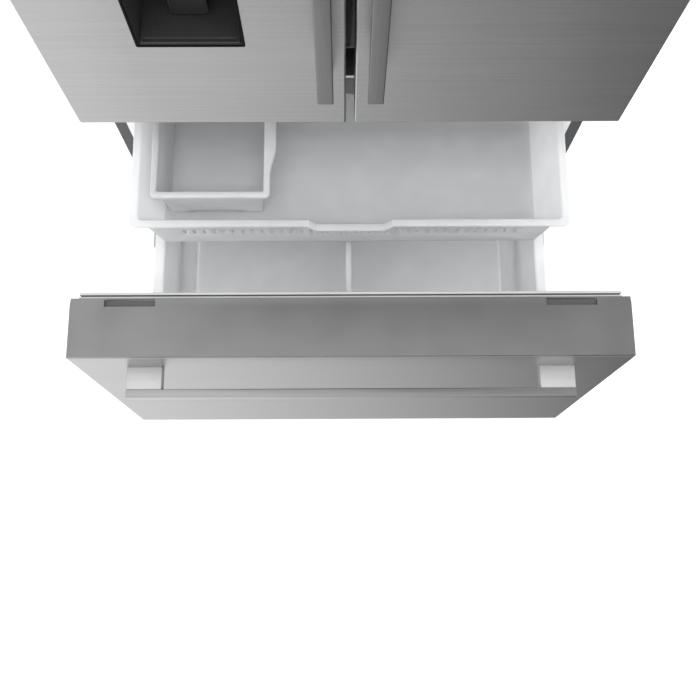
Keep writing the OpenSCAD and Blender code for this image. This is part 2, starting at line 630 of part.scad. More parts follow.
module drawer_handle_bar() pulled(drawer_out) color("gray") along_x(-drawer_bar / 2, drawer_bar / 2)
  pad(-bar_standoff - bar_depth, -bar_standoff, bar_z, bar_z + bar_width, bar_round);
module drawer_handle_posts() pulled(drawer_out) color("lightgray") both() box(drawer_bar / 2 - post_length, drawer_bar / 2, -bar_standoff, 0, bar_z + 1, bar_z + bar_width - 1);
module drawer_slides() pulled(drawer_out) color("gainsboro") both() {
  box(inner_in, inner_in + mid_width, door_thickness, sump_back - 4, slide_bottom + 4, slide_bottom + slide_height - 4);
  box(inner_in - 10, inner_in + mid_width, door_thickness, door_thickness + 3, slide_bottom - 10, slide_bottom + slide_height + 10);
}
lug_bottom = slide_bottom + slide_height - 4;
module lower_bin() pulled(drawer_out) color("white") {
  o = [-bin_half + bin_rim - bin_wall, bin_half - bin_rim + bin_wall, bin_front + 4, bin_front + bin_length - 6];
  tub(o, [o[0] + bin_taper, o[1] - bin_taper, o[2] + 6, o[3] - 14], bin_bottom, bin_top, 16, bin_wall);
  difference() {
    translate([0, 0, bin_top - rim_sheet]) linear_extrude(rim_sheet) pad(-bin_half, bin_half, bin_front, bin_front + bin_length, 14);
    translate([0, 0, bin_top - rim_sheet - past]) linear_extrude(rim_sheet + 2 * past) pad(o[0] + bin_wall, o[1] - bin_wall, o[2] + bin_wall, o[3] - bin_wall, 13);
  }
  both() for (y = [0.22, 0.78]) box(bin_half - bin_rim - 4, inner_in + mid_width - 1, bin_front + y * bin_length - 20, bin_front + y * bin_length + 20, lug_bottom, lug_bottom + 6);
}
divider_x = -2.5;
divider_foot = 3;
module bin_divider() pulled(drawer_out) color("white") {
  front = bin_front + 4 + bin_wall + 7;
  back = bin_front + bin_length - 6 - bin_wall - 15;
  box(divider_x - divider_width / 2, divider_x + divider_width / 2, front, back, bin_top - 12, bin_top - 6);
  box(divider_x - divider_foot / 2, divider_x + divider_foot / 2, front, back, bin_bottom + bin_wall, bin_top - 6);
}

// ---------- upper basket and ice bucket ----------
basket_back = basket_front + basket_length;
dip_depth = 20;
dip_half = 62;
dip_ramp = 14;
slot_top = basket_top - 48;
slot_height = 21;
wall_in = basket_rim - basket_wall;
slot_margin = 86;
slot_count = 1 + floor((2 * (basket_half - slot_margin)) / slot_pitch);
module dip_profile(g) polygon([[-dip_half - dip_ramp - g, basket_top + past], [-dip_half - dip_ramp - g, basket_top], [-dip_half - g, basket_top - dip_depth - g], [dip_half + g, basket_top - dip_depth - g], [dip_half + dip_ramp + g, basket_top], [dip_half + dip_ramp + g, basket_top + past]]);
module upper_basket() pulled(basket_out) color("white") {
  o = [-basket_half + wall_in, basket_half - wall_in, basket_front + wall_in, basket_back - wall_in];
  difference() {
    union() {
      tub(o, [o[0] + basket_taper, o[1] - basket_taper, o[2] + 1, o[3] - 12], basket_bottom, basket_top, basket_radius, basket_wall);
      difference() {
        translate([0, 0, basket_top - rim_sheet]) linear_extrude(rim_sheet) pad(-basket_half, basket_half, basket_front, basket_back, 9);
        translate([0, 0, basket_top - rim_sheet - past]) linear_extrude(rim_sheet + 2 * past) pad(o[0] + basket_wall, o[1] - basket_wall, o[2] + basket_wall, o[3] - basket_wall, 15);
      }
      intersection() {
        along_y(basket_front, basket_front + basket_rim + 1) dip_profile(rim_sheet);
        box(-half, half, 0, cab_back, 0, basket_top);
      }
    }
    along_y(basket_front - past, basket_front + basket_rim + 2 * past) dip_profile(0);
    for (i = [0:slot_count - 1]) translate([(i - (slot_count - 1) / 2) * slot_pitch, 0, 0])
      box(-slot_width / 2, slot_width / 2, basket_front, basket_front + basket_rim + 2 * past, slot_top - slot_height, slot_top);
  }
}
bucket_left = -basket_half + 33;
bucket_right = bucket_left + bucket_width;
bucket_top = basket_top - 4;
bucket_bottom = basket_bottom + basket_wall;
bucket_front = basket_front + 58;
bucket_length = bucket_share * basket_length;
bucket_back = bucket_front + bucket_length;
bucket_wall = 3;
module ice_bucket() pulled(basket_out) color("white") {
  o = [bucket_left + 5, bucket_right - 5, bucket_front + 5, bucket_back - 5];
  difference() {
    union() {
      tub(o, [o[0] + 12, o[1] - 15, o[2] + 10, o[3] - 12], bucket_bottom, bucket_top, 12, bucket_wall);
      difference() {
        translate([0, 0, bucket_top - rim_sheet]) linear_extrude(rim_sheet) pad(bucket_left, bucket_right, bucket_front, bucket_back, 12);
        translate([0, 0, bucket_top - rim_sheet - past]) linear_extrude(rim_sheet + 2 * past) pad(o[0] + bucket_wall, o[1] - bucket_wall, o[2] + bucket_wall, o[3] - bucket_wall, 9);
      }
    }
    translate([(bucket_left + bucket_right) / 2, 0, bucket_bottom]) along_y(bucket_front, bucket_front + 40) polygon([[-44, -1], [44, -1], [38, 9], [-38, 9]]);
  }
  translate([(bucket_left + bucket_right) / 2, 0, bucket_bottom]) difference() {
    box(-50, 50, bucket_front + 15, bucket_front + 44, 0, 13);
    along_y(bucket_front, bucket_front + 40) polygon([[-44, -1], [44, -1], [38, 9], [-38, 9]]);
  }
}

cabinet_shell();
cabinet_foam();
back_panel();
machine_cover();
fridge_liner();
freezer_liner();
crossmember();
base_frame();
toe_grille();
levelling_feet();
rear_rollers();
compressor();
condenser();
water_valve();
top_hinges();
middle_hinges();
hinge_covers();
shelf_tracks();
shelf_frames();
shelf_glass();
crisper_cover();
left_crisper();
right_crisper();
drawer_rails();
basket_rails();
middle_slides();
left_door_skin();
left_door_core();
left_door_panel();
left_door_gasket();
left_handle_bar();
left_handle_posts();
left_door_bins();
dispenser_frame();
dispenser_recess();
dispenser_nozzle();
dispenser_tray();
dispenser_paddle();
flipper_mullion();
right_door_skin();
right_door_core();
right_door_panel();
right_door_gasket();
right_handle_bar();
right_handle_posts();
right_door_bins();
drawer_skin();
drawer_top_cap();
drawer_core();
drawer_panel();
drawer_gasket();
drawer_handle_bar();
drawer_handle_posts();
drawer_slides();
lower_bin();
bin_divider();
upper_basket();
ice_bucket();
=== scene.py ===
# %% [markdown]
# # A french door refrigerator with its freezer drawer pulled out
# The measured model gives every moving body and most shapes. This lesson loads it, gives
# each part its real finish, and models again the parts whose edges, lips and folds need
# more shape than an engineering solid has: the freezer tubs, the gaskets, the handles,
# the drawer cap and the dispenser.

# %% Load the measured model
import bpy, bmesh, math
from mathutils import Matrix, Vector


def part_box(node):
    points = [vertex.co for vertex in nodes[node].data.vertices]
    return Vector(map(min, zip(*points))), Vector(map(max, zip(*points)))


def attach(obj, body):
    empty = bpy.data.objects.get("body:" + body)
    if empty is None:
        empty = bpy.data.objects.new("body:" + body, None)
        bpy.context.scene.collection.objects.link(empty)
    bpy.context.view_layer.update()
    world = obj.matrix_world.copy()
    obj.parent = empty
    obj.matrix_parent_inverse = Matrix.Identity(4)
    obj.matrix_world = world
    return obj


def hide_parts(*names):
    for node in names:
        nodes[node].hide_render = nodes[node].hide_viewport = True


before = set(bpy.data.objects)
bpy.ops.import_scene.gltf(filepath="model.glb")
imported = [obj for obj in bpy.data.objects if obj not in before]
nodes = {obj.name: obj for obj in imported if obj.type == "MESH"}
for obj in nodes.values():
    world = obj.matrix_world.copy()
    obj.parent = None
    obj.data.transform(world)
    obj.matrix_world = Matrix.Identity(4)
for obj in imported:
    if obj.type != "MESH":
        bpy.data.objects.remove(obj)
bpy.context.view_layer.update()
print("parts from the measured model:", len(nodes))

# %% [markdown]
# ## Camera
# The camera looks almost straight down at the pulled out drawer, from in front of the
# doors. It is set first, because it decides which edges need care. Its place is given
# from two corners of the model, so it keeps its view if the model is moved.

# %% Camera
drawer_low, drawer_high = [Vector(c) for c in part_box("drawer_top_cap")]
door_low, door_high = [Vector(c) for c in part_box("left_door_skin")]
eye = Vector((-0.0119, door_low.y - 0.749, drawer_high.z + 1.4233))
lens_mm, sensor_mm = 47.36, 36.0
lean, turn, roll = math.radians(14.05), math.radians(-1.554), math.radians(1.254)
camera_data = bpy.data.cameras.new("camera")
camera_data.lens, camera_data.sensor_width = lens_mm, sensor_mm
camera_data.clip_start, camera_data.clip_end = 0.01, 100
camera = bpy.data.objects.new("camera", camera_data)
bpy.context.scene.collection.objects.link(camera)
camera.matrix_world = (Matrix.Translation(eye) @ Matrix.Rotation(turn, 4, "Z")
                       @ Matrix.Rotation(lean, 4, "X") @ Matrix.Rotation(roll, 4, "Z"))
bpy.context.scene.camera = camera
print("camera at", [round(v, 3) for v in eye])

# %% [markdown]
# ## Helpers for picking and shaping
# Every new piece starts as a primitive at its size and place and is shaped in edit mode.
# An operator works on whatever is selected, so these helpers first clear the selection
# and then pick faces or edges by where they are.

# %% Picking and shaping helpers
MM = 0.001

def clear_pick():
    if bpy.context.object and bpy.context.object.mode != "OBJECT":
        bpy.ops.object.mode_set(mode="OBJECT")
    bpy.ops.object.select_all(action="DESELECT")

def only(piece):
    """Picks one object and makes it the active one."""
    clear_pick()
    piece.select_set(True)
    bpy.context.view_layer.objects.active = piece

def opened(name):
    """Names the new primitive, fixes its transform and opens it in edit mode."""
    bpy.ops.object.transform_apply(location=True, rotation=True, scale=True)
    piece = bpy.context.object
    piece.name = piece.data.name = name
    bpy.ops.object.mode_set(mode="EDIT")
    return piece

def block(name, low, high):
    """A box between two corners, its object at the origin, open in edit mode."""
    clear_pick()
    low, high = Vector(low), Vector(high)
    bpy.ops.mesh.primitive_cube_add(size=1, location=(low + high) / 2, scale=high - low)
    return opened(name)

def rod(name, centre, radius, length, axis="Z", sides=48):
    """A cylinder along an axis, open in edit mode."""
    clear_pick()
    turned = {"Z": (0, 0, 0), "X": (0, math.pi / 2, 0)}[axis]
    bpy.ops.mesh.primitive_cylinder_add(vertices=sides, radius=radius, depth=length,
                                        location=centre, rotation=turned)
    return opened(name)

def pick(kind, test):
    """Selects the faces, edges or verts that pass a test, in edit mode."""
    mesh = bpy.context.edit_object.data
    bpy.ops.mesh.select_mode(type={"faces": "FACE", "edges": "EDGE", "verts": "VERT"}[kind])
    bpy.ops.mesh.select_all(action="DESELECT")
    shape = bmesh.from_edit_mesh(mesh)
    found = [part for part in getattr(shape, kind) if test(part)]
    for part in found:
        part.select_set(True)
    shape.select_flush_mode()
    bmesh.update_edit_mesh(mesh)
    return len(found)

def middle(part):
    """The centre of a face, an edge or a vertex."""
    if hasattr(part, "calc_center_median"):
        return part.calc_center_median()
    if hasattr(part, "co"):
        return part.co
    return (part.verts[0].co + part.verts[1].co) / 2

def lengthwise(edge, axis):
    """Whether an edge runs along an axis."""
    side = edge.verts[0].co - edge.verts[1].co
    return abs(side[axis]) > 0.9 * side.length

def about(pivot, size):
    """Scales the picked parts about a point."""
    bpy.ops.transform.resize(value=size, center_override=pivot)

def press(move):
    """Extrudes what is picked and moves it."""
    bpy.ops.mesh.extrude_region_move(TRANSFORM_OT_translate={"value": move})

def rounded(radius, steps):
    """Rounds the picked edges."""
    bpy.ops.mesh.bevel(offset=radius, segments=steps, affect="EDGES", clamp_overlap=False)

def box_of(name):
    low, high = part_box(name)
    return Vector(low), Vector(high)

def modified(piece, kind, **settings):
    """Adds one modifier and applies it, so the mesh itself has the shape."""
    only(piece)
    worker = piece.modifiers.new(kind.lower(), kind)
    for key, value in settings.items():
        setattr(worker, key, value)
    bpy.ops.object.modifier_apply(modifier=worker.name)

def finished(piece, body, edge=0.6 * MM, steps=2, angle=30):
    """Softens every sharp edge, smooths the shading and lets the piece ride on its body."""
    if edge:
        modified(piece, "BEVEL", width=edge, segments=steps, limit_method="ANGLE",
                 angle_limit=math.radians(angle), harden_normals=False)
    only(piece)
    bpy.ops.object.shade_smooth_by_angle(angle=math.radians(angle + 5))
    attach(piece, body)
    return piece

def joined(name, pieces):
    """Joins pieces into the first one, under a new name."""
    only(pieces[0])
    for piece in pieces:
        piece.select_set(True)
    bpy.ops.object.join()
    pieces[0].name = pieces[0].data.name = name
    return pieces[0]

def carved(piece, cutter):
    """Cuts one piece with another, which is then removed."""
    modified(piece, "BOOLEAN", operation="DIFFERENCE", object=cutter, solver="EXACT")
    bpy.data.objects.remove(cutter, do_unlink=True)

# %% [markdown]
# ## Helpers for finishes
# Colours are written as sRGB hex, as a paint chart gives them, and one function turns
# them to linear light. One function adds a shader node with its settings and links.

# %% Finish helpers
def srgb(code):
    parts = [int(code[i:i + 2], 16) / 255 for i in (1, 3, 5)]
    return tuple(c / 12.92 if c <= 0.04045 else ((c + 0.055) / 1.055) ** 2.4 for c in parts) + (1.0,)

def node(tree, kind, settings=None, inputs=None):
    """Adds one shader node; an input may be a value or another node's output."""
    made = tree.nodes.new(kind)
    for key, value in (settings or {}).items():
        setattr(made, key, value)
    for key, value in (inputs or {}).items():
        if isinstance(value, bpy.types.NodeSocket):
            tree.links.new(value, made.inputs[key])
        else:
            made.inputs[key].default_value = value
    return made

def new_finish(name, colour, rough, metal=0.0, ior=1.5, **more):
    """A material with one Principled shader; returns the material, tree, shader and place."""
    finish = bpy.data.materials.new(name)
    finish.use_nodes = True
    tree = finish.node_tree
    shader = tree.nodes["Principled BSDF"]
    shader.inputs["Base Color"].default_value = srgb(colour)
    shader.inputs["Roughness"].default_value = rough
    shader.inputs["Metallic"].default_value = metal
    if not metal:
        shader.inputs["IOR"].default_value = ior
    for key, value in more.items():
        shader.inputs[key.replace("_", " ")].default_value = value
    place = node(tree, "ShaderNodeTexCoord").outputs["Object"]
    return finish, tree, shader, place

def ramp(tree, factor, low, high, start, end):
    """Turns low to high into start to end, and holds the ends."""
    made = node(tree, "ShaderNodeMapRange", {}, {
        "Value": factor, "From Min": low, "From Max": high, "To Min": start, "To Max": end})
    return made.outputs["Result"]

def noise(tree, place, scale, detail, **more):
    made = node(tree, "ShaderNodeTexNoise", {},
                {"Vector": place, "Scale": scale, "Detail": detail, **more})
    return made.outputs["Fac"]

def maths(tree, operation, **terms):
    """One maths node; its terms are a, b and c."""
    values = {"abc".index(key): value for key, value in terms.items()}
    return node(tree, "ShaderNodeMath", {"operation": operation}, values).outputs["Value"]

def shade(code, factor):
    """A colour made lighter or darker."""
    parts = (round(int(code[i:i + 2], 16) * factor) for i in (1, 3, 5))
    return "#" + "".join("%02x" % max(0, min(255, part)) for part in parts)

def tint(tree, shader, factor, one, two):
    """Drives the base colour between two colours."""
    made = node(tree, "ShaderNodeMix", {"data_type": "RGBA"}, {"Factor": factor})
    made.inputs["A"].default_value, made.inputs["B"].default_value = srgb(one), srgb(two)
    tree.links.new(made.outputs["Result"], shader.inputs["Base Color"])

def roughen(tree, shader, factor, low, high, smooth, coarse):
    """Drives the roughness between two values."""
    tree.links.new(ramp(tree, factor, low, high, smooth, coarse), shader.inputs["Roughness"])

def emboss(tree, shader, height, strength, depth):
    """Drives the normal with a faint bump."""
    lift = node(tree, "ShaderNodeBump", {},
                {"Height": height, "Strength": strength, "Distance": depth})
    tree.links.new(lift.outputs["Normal"], shader.inputs["Normal"])

# %% [markdown]
# ### Brushed stainless steel
# The doors and the drawer front are 430 stainless sheet, brushed along the width of the
# refrigerator with an abrasive belt. The brush leaves fine scratches a few hundredths
# of a millimetre apart and several centimetres long. They are drawn about 1 mm
# apart so that they show. A noise stretched along X gives them, and feeds the colour,
# the roughness and a faint bump. A bar is brushed along its own length.

# %% Brushed steel
def brushed_steel(name, along, colour="#b9b9b9", rough=0.34, streak=0.7 * MM, length=140 * MM,
                  bump=0.03, metal=1.0):
    finish, tree, shader, place = new_finish(name, colour, rough, metal)
    shader.inputs["Anisotropic"].default_value = 0.55
    scale = [1 / streak] * 3
    scale["XYZ".index(along)] = 1 / length
    band_width = 4
    fine = node(tree, "ShaderNodeMapping", {"vector_type": "POINT"},
                {"Vector": place, "Scale": scale})
    scratch = noise(tree, fine.outputs["Vector"], 1.0, 4.0, Roughness=0.6)
    broad = node(tree, "ShaderNodeMapping", {"vector_type": "POINT"},
                 {"Vector": place, "Scale": [v / band_width for v in scale]})
    band = noise(tree, broad.outputs["Vector"], 1.0, 2.0)
    both = maths(tree, "MULTIPLY_ADD", a=band, b=0.5, c=scratch)
    tint(tree, shader, ramp(tree, both, 0.5, 1.0, 0.0, 1.0), shade(colour, 0.95), shade(colour, 1.04))
    roughen(tree, shader, scratch, 0.3, 0.7, rough - 0.03, rough + 0.04)
    emboss(tree, shader, scratch, bump, 0.4 * MM)
    return finish

door_steel = brushed_steel("brushed_430_stainless_sheet", "X")
# The upright door bars get a darker grey and the level drawer bar a lighter grey than this one
# stainless has: painted shade on the upright bars, painted light on the level bar.
shaded_upright_bar_steel = brushed_steel("brushed_stainless_bar_upright_painted_shade", "Z", "#8c8c8c", 0.40, length=60 * MM)
lit_level_bar_steel = brushed_steel("brushed_stainless_bar_level_painted_light", "X", "#c4c4c4", 0.40, length=60 * MM)
post_steel = brushed_steel("satin_silver_painted_casting", "X", "#bcbcbc", 0.45, 0.5 * MM, 20 * MM,
                           bump=0.02, metal=0.3)

# %% [markdown]
# ### Moulded plastics
# The tubs and the bins are injection moulded polystyrene and ABS: slightly glossy, with a
# very fine spark-eroded texture and a soft waviness from cooling. Two noises give both.
# Light enters white plastic some way and leaves again, so the tubs get a subsurface weight.
# Vinyl, nylon, powder coat, enamel and foam differ only in colour, gloss and grain.

# %% Moulded plastic
def moulded(name, colour, rough, grain=0.8 * MM, bump=0.04, soft=0.0, **more):
    finish, tree, shader, place = new_finish(name, colour, rough, **more)
    wave, light_depth = 60 * MM, 20 * MM
    fine, slow = noise(tree, place, 1 / grain, 2.0), noise(tree, place, 1 / wave, 1.0)
    tint(tree, shader, ramp(tree, slow, 0.3, 0.7, 0.0, 1.0), shade(colour, 0.97), colour)
    roughen(tree, shader, fine, 0.25, 0.75, max(rough - 0.05, 0.02), rough + 0.06)
    emboss(tree, shader, fine, bump, 0.3 * MM)
    if soft:
        shader.inputs["Subsurface Weight"].default_value = soft
        shader.inputs["Subsurface Radius"].default_value = [light_depth] * 3
        shader.inputs["Subsurface Scale"].default_value = 1.0
    return finish

white_tub = moulded("white_moulded_polystyrene", "#e9ebed", 0.33, soft=0.8)
white_liner = moulded("white_vacuum_formed_liner", "#e7e9ea", 0.28, 1.5 * MM, 0.03)
hose_white = moulded("white_nylon", "#e6e6e2", 0.4)
clear_bin = moulded("clear_moulded_polystyrene", "#f7fafb", 0.06, 3 * MM, 0.004, ior=1.59,
                    Transmission_Weight=0.92)
gasket_vinyl = moulded("light_grey_vinyl_gasket", "#cfd0cf", 0.55, 0.5 * MM, 0.05)
# Painted shade: a darker grey for the faces in the groove of the gaskets.
groove_painted_shade_vinyl = moulded("painted_shade_grey_vinyl", "#5e5f5f", 0.6, 0.5 * MM, 0.05)
black_gloss = moulded("black_gloss_acrylic", "#0d0d0e", 0.2, 2 * MM, 0.005, ior=1.49,
                      Specular_IOR_Level=0.02)
black_matte = moulded("black_moulded_abs", "#1b1b1c", 0.5, 0.7 * MM, 0.12)
niche_black = moulded("dark_moulded_abs_niche", "#2d2d2e", 0.42, 0.7 * MM, 0.08)
tray_black = moulded("satin_moulded_abs", "#323233", 0.25, 0.9 * MM, 0.03)
smoke_grey = moulded("dark_grey_moulded_abs", "#2b2b2c", 0.42, 0.7 * MM, 0.08)
pocket_grey = moulded("mid_grey_moulded_abs", "#5c5c5d", 0.5, 0.7 * MM, 0.05)
dark_flange = moulded("graphite_powder_coat", "#4b4d4f", 0.55, 0.9 * MM, 0.25)
cap_grey = moulded("grey_metallic_enamel", "#9c9c9c", 0.40, 0.6 * MM, 0.02, metal=0.85)
black_paint = moulded("black_sprayed_enamel", "#101010", 0.3, 1.0 * MM, 0.1)
foam = moulded("polyurethane_foam", "#e3d3a0", 0.9, 1.2 * MM, 0.4)

# %% [markdown]
# ### Glass and zinc
# Shelves are 4 mm float glass, nearly clear with a green edge. Hidden brackets and the
# back are zinc coated sheet, whose crystals show as faint patches a few millimetres wide.

# %% Glass and zinc
def float_glass(name):
    finish, tree, shader, place = new_finish(name, "#e4f2ee", 0.03, ior=1.52, Transmission_Weight=1.0)
    tint(tree, shader, noise(tree, place, 9.0, 1.0), "#dceee8", "#eaf6f3")
    return finish

def zinc_sheet(name, colour, rough=0.42):
    finish, tree, shader, place = new_finish(name, colour, rough, metal=1.0)
    crystal = 7 * MM
    flakes = node(tree, "ShaderNodeTexVoronoi", {"feature": "F1"},
                  {"Vector": place, "Scale": 1 / crystal, "Randomness": 1.0})
    cloud = noise(tree, place, 45.0, 3.0)
    both = maths(tree, "ADD", a=flakes.outputs["Distance"], b=cloud)
    tint(tree, shader, ramp(tree, both, 0.4, 1.2, 0.0, 1.0), shade(colour, 0.95), shade(colour, 1.04))
    roughen(tree, shader, cloud, 0.3, 0.7, rough - 0.03, rough + 0.04)
    return finish

shelf_glass = float_glass("tempered_float_glass")
zinc = zinc_sheet("zinc_coated_sheet", "#b9bcbd")
slide_zinc = zinc_sheet("bright_zinc_slide", "#c3c5c6", 0.3)

# %% [markdown]
# ## Finishes for the measured parts
# A measured part whose shape is right keeps its shape and gets a real finish.

# %% Give finishes
def dress(names, finish):
    for name in names.split():
        piece = nodes[name]
        piece.data.materials.clear()
        piece.data.materials.append(finish)

dress("left_door_skin right_door_skin drawer_skin", door_steel)
dress("cabinet_shell crossmember", dark_flange)
dress("cabinet_foam left_door_core right_door_core drawer_core", foam)
dress("back_panel base_frame top_hinges middle_hinges shelf_tracks", zinc)
dress("drawer_rails middle_slides drawer_slides condenser", slide_zinc)
dress("machine_cover hinge_covers dispenser_nozzle", smoke_grey)
dress("fridge_liner freezer_liner left_door_panel right_door_panel drawer_panel", white_liner)
dress("upper_basket lower_bin bin_divider ice_bucket", white_tub)
dress("left_crisper right_crisper left_door_bins right_door_bins", clear_bin)
dress("left_handle_bar right_handle_bar", shaded_upright_bar_steel)
dress("drawer_handle_bar", lit_level_bar_steel)
dress("left_handle_posts right_handle_posts drawer_handle_posts", post_steel)
dress("drawer_top_cap", cap_grey)
dress("left_door_gasket right_door_gasket drawer_gasket", gasket_vinyl)
dress("dispenser_frame", black_gloss)
dress("dispenser_recess dispenser_tray dispenser_paddle flipper_mullion", black_matte)
dress("toe_grille levelling_feet rear_rollers", black_matte)
dress("compressor", black_paint)
dress("shelf_glass crisper_cover", shelf_glass)
dress("water_valve shelf_frames basket_rails", hose_white)

# %% [markdown]
# ## Helpers for moulded tubs and swept frames
# The basket, the bin and the ice bucket are all thin moulded tubs: a tapered shell with
# round corners, a flange that folds outwards and a short lip that folds down. The shell
# is drawn as one sheet, and Solidify gives it its wall. A gasket has one section all
# round a rectangle, so its loop of edges is extruded from point to point of the section.

# %% Tub and frame helpers
def outward():
    """Turns all faces of the open mesh the same way, out of a closed one."""
    bpy.ops.mesh.select_all(action="SELECT")
    bpy.ops.mesh.normals_make_consistent(inside=False)

def skin_out():
    """Turns the faces of an open shell so that its floor looks down and its walls out."""
    outward()
    shape = bmesh.from_edit_mesh(bpy.context.edit_object.data)
    shape.normal_update()
    level = [f for f in shape.faces if abs(f.normal.z) > 0.95]
    if min(level, key=lambda f: middle(f).z).normal.z > 0:
        bpy.ops.mesh.flip_normals()

def open_shell(name, low, high, wall, rim, lip, foot, corner, floor_round):
    """A tapered tub shell inside the box low to high, left open in edit mode.

    foot says how far the floor is drawn in at the sides, the front and the back."""
    side, front, back = foot
    top, near = high.z - wall, 0.1 * MM
    inset, flange = rim - wall, rim - 2 * wall
    x0, x1, y0, y1 = low.x + inset, high.x - inset, low.y + inset, high.y - inset
    width, length = x1 - x0, y1 - y0
    shell = block(name, (x0, y0, low.z), (x1, y1, top))
    pick("verts", lambda v: v.co.z < low.z + near)
    about(((x0 + x1) / 2, y0 + length * front / (front + back), low.z),
          (1 - 2 * side / width, 1 - (front + back) / length, 1))
    pick("faces", lambda f: f.normal.z > 0.9)
    bpy.ops.mesh.delete(type="FACE")
    pick("edges", lambda e: lengthwise(e, 2))
    rounded(corner, 8)
    pick("edges", lambda e: all(v.co.z < low.z + near for v in e.verts) and not lengthwise(e, 2))
    rounded(floor_round, 4)
    pick("edges", lambda e: len(e.link_faces) == 1)
    if flange > 0:
        press((0, 0, 0))
        about(((x0 + x1) / 2, (y0 + y1) / 2, top),
              (1 + 2 * flange / width, 1 + 2 * flange / length, 1))
        press((0, 0, wall - lip))
    skin_out()
    return shell

def at_fold(edge):
    """Whether two faces meet at an edge in a sharp fold."""
    faces = edge.link_faces
    return len(faces) == 2 and abs(faces[0].normal.dot(faces[1].normal)) < 0.4

def folded(inner, outer, level):
    """Rounds the fold from wall to flange, then the smaller one from flange to lip."""
    above = lambda e: at_fold(e) and min(v.co.z for v in e.verts) > level
    joins_wall = lambda e: min(v.co.z for f in e.link_faces for v in f.verts) < level - 10 * MM
    pick("edges", lambda e: above(e) and joins_wall(e))
    rounded(inner, 4)
    pick("edges", lambda e: above(e) and not joins_wall(e))
    rounded(outer, 3)

def walled(piece, wall):
    """Gives a sheet its wall, on its inner side."""
    modified(piece, "SOLIDIFY", thickness=wall, offset=-1, use_even_offset=True)

def hoop(name, low, high, section):
    """A frame round a rectangle that faces Y: section lists (inward, forward) points."""
    clear_pick()
    centre, width, height = (low + high) / 2, high.x - low.x, high.z - low.z
    bpy.ops.mesh.primitive_plane_add(size=1, location=(centre.x, section[0][1], centre.z),
                                     rotation=(math.pi / 2, 0, 0))
    bpy.context.object.scale = (width, height, 1)
    piece = opened(name)
    bpy.ops.mesh.select_all(action="SELECT")
    bpy.ops.mesh.delete(type="ONLY_FACE")
    bpy.ops.mesh.select_mode(type="EDGE")
    bpy.ops.mesh.select_all(action="SELECT")
    for (a0, b0), (a1, b1) in zip(section, section[1:]):
        press((0, b1 - b0, 0))
        about(centre, ((width - 2 * a1) / (width - 2 * a0), 1, (height - 2 * a1) / (height - 2 * a0)))
    pick("edges", lambda e: len(e.link_faces) == 1)
    bpy.ops.mesh.bridge_edge_loops()
    outward()
    return piece

def wears(piece, finish):
    """Gives a new piece its finish."""
    piece.data.materials.clear()
    piece.data.materials.append(finish)

def copied(piece, name, move):
    """A copy with its own mesh, moved inside that mesh."""
    twin = piece.copy()
    twin.data = piece.data.copy()
    twin.name = twin.data.name = name
    bpy.context.scene.collection.objects.link(twin)
    twin.data.transform(Matrix.Translation(move))
    return twin

def mirrored(piece, name):
    """A copy with its own mesh, mirrored across the middle, its faces turned back out."""
    twin = copied(piece, name, (0, 0, 0))
    twin.data.transform(Matrix.Scale(-1, 4, (1, 0, 0)))
    twin.data.flip_normals()
    return twin

# %% [markdown]
# ## Upper freezer basket
# The basket is a shallow white tub that runs on its own rails. Its front lip dips in the
# middle as a finger grip, and a row of narrow slots lets cold air through the front wall.
# The dip is cut with bisect planes and pressed down, and the slots are cut in one
# boolean with a row of cutters.

# %% Upper freezer basket
basket_low, basket_high = box_of("upper_basket")
basket_wall, basket_rim, basket_lip = 2.5 * MM, 15 * MM, 5 * MM
grip_half, grip_ramp, grip_depth = 62 * MM, 14 * MM, 20 * MM
basket = open_shell("freezer_basket", basket_low, basket_high, basket_wall, basket_rim, basket_lip,
                    foot=(26 * MM, 1 * MM, 12 * MM), corner=11 * MM, floor_round=3 * MM)
rim_level = basket_high.z - basket_lip - 0.2 * MM
front_band = basket_low.y + basket_rim + 4 * MM
in_wall = lambda f: middle(f).y < front_band + 10 * MM and abs(f.normal.z) < 0.95
in_rim = lambda f: middle(f).z > rim_level and middle(f).y < front_band
for x in (-grip_half - grip_ramp, -grip_half, grip_half, grip_half + grip_ramp):
    pick("faces", lambda f: in_wall(f) or in_rim(f))
    bpy.ops.mesh.bisect(plane_co=(x, 0, 0), plane_no=(1, 0, 0))
pick("verts", lambda v: abs(v.co.x) < grip_half + 0.1 * MM
     and v.co.y < front_band and v.co.z > rim_level)
bpy.ops.transform.translate(value=(0, 0, -grip_depth))
folded(2.2 * MM, 1.2 * MM, basket_high.z - grip_depth - basket_lip - 1 * MM)
walled(basket, basket_wall)

slot_pitch, slot_width, slot_height, slot_count = 17.7 * MM, 6 * MM, 21 * MM, 35
slot_top = basket_high.z - 48 * MM
row = (slot_count - 1) / 2 * slot_pitch
cutter = block("slot_cutter", (-row - slot_width / 2, basket_low.y, slot_top - slot_height),
               (-row + slot_width / 2, basket_low.y + 22 * MM, slot_top))
pick("edges", lambda e: lengthwise(e, 1))
rounded(0.8 * MM, 2)
modified(cutter, "ARRAY", count=slot_count, use_relative_offset=False,
         use_constant_offset=True, constant_offset_displace=(slot_pitch, 0, 0))
carved(basket, cutter)
finished(basket, "basket", edge=0.7 * MM)
wears(basket, white_tub)
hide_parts("upper_basket")
print("basket faces:", len(basket.data.polygons))

# %% [markdown]
# ## Ice bucket
# The bucket stands in the basket. It is a deeper, narrower tub made in the same way. The
# lip on its right side steps outwards towards the back, to clear the hand, and a low
# trapezium at the foot of its front wall lets a finger in under it.

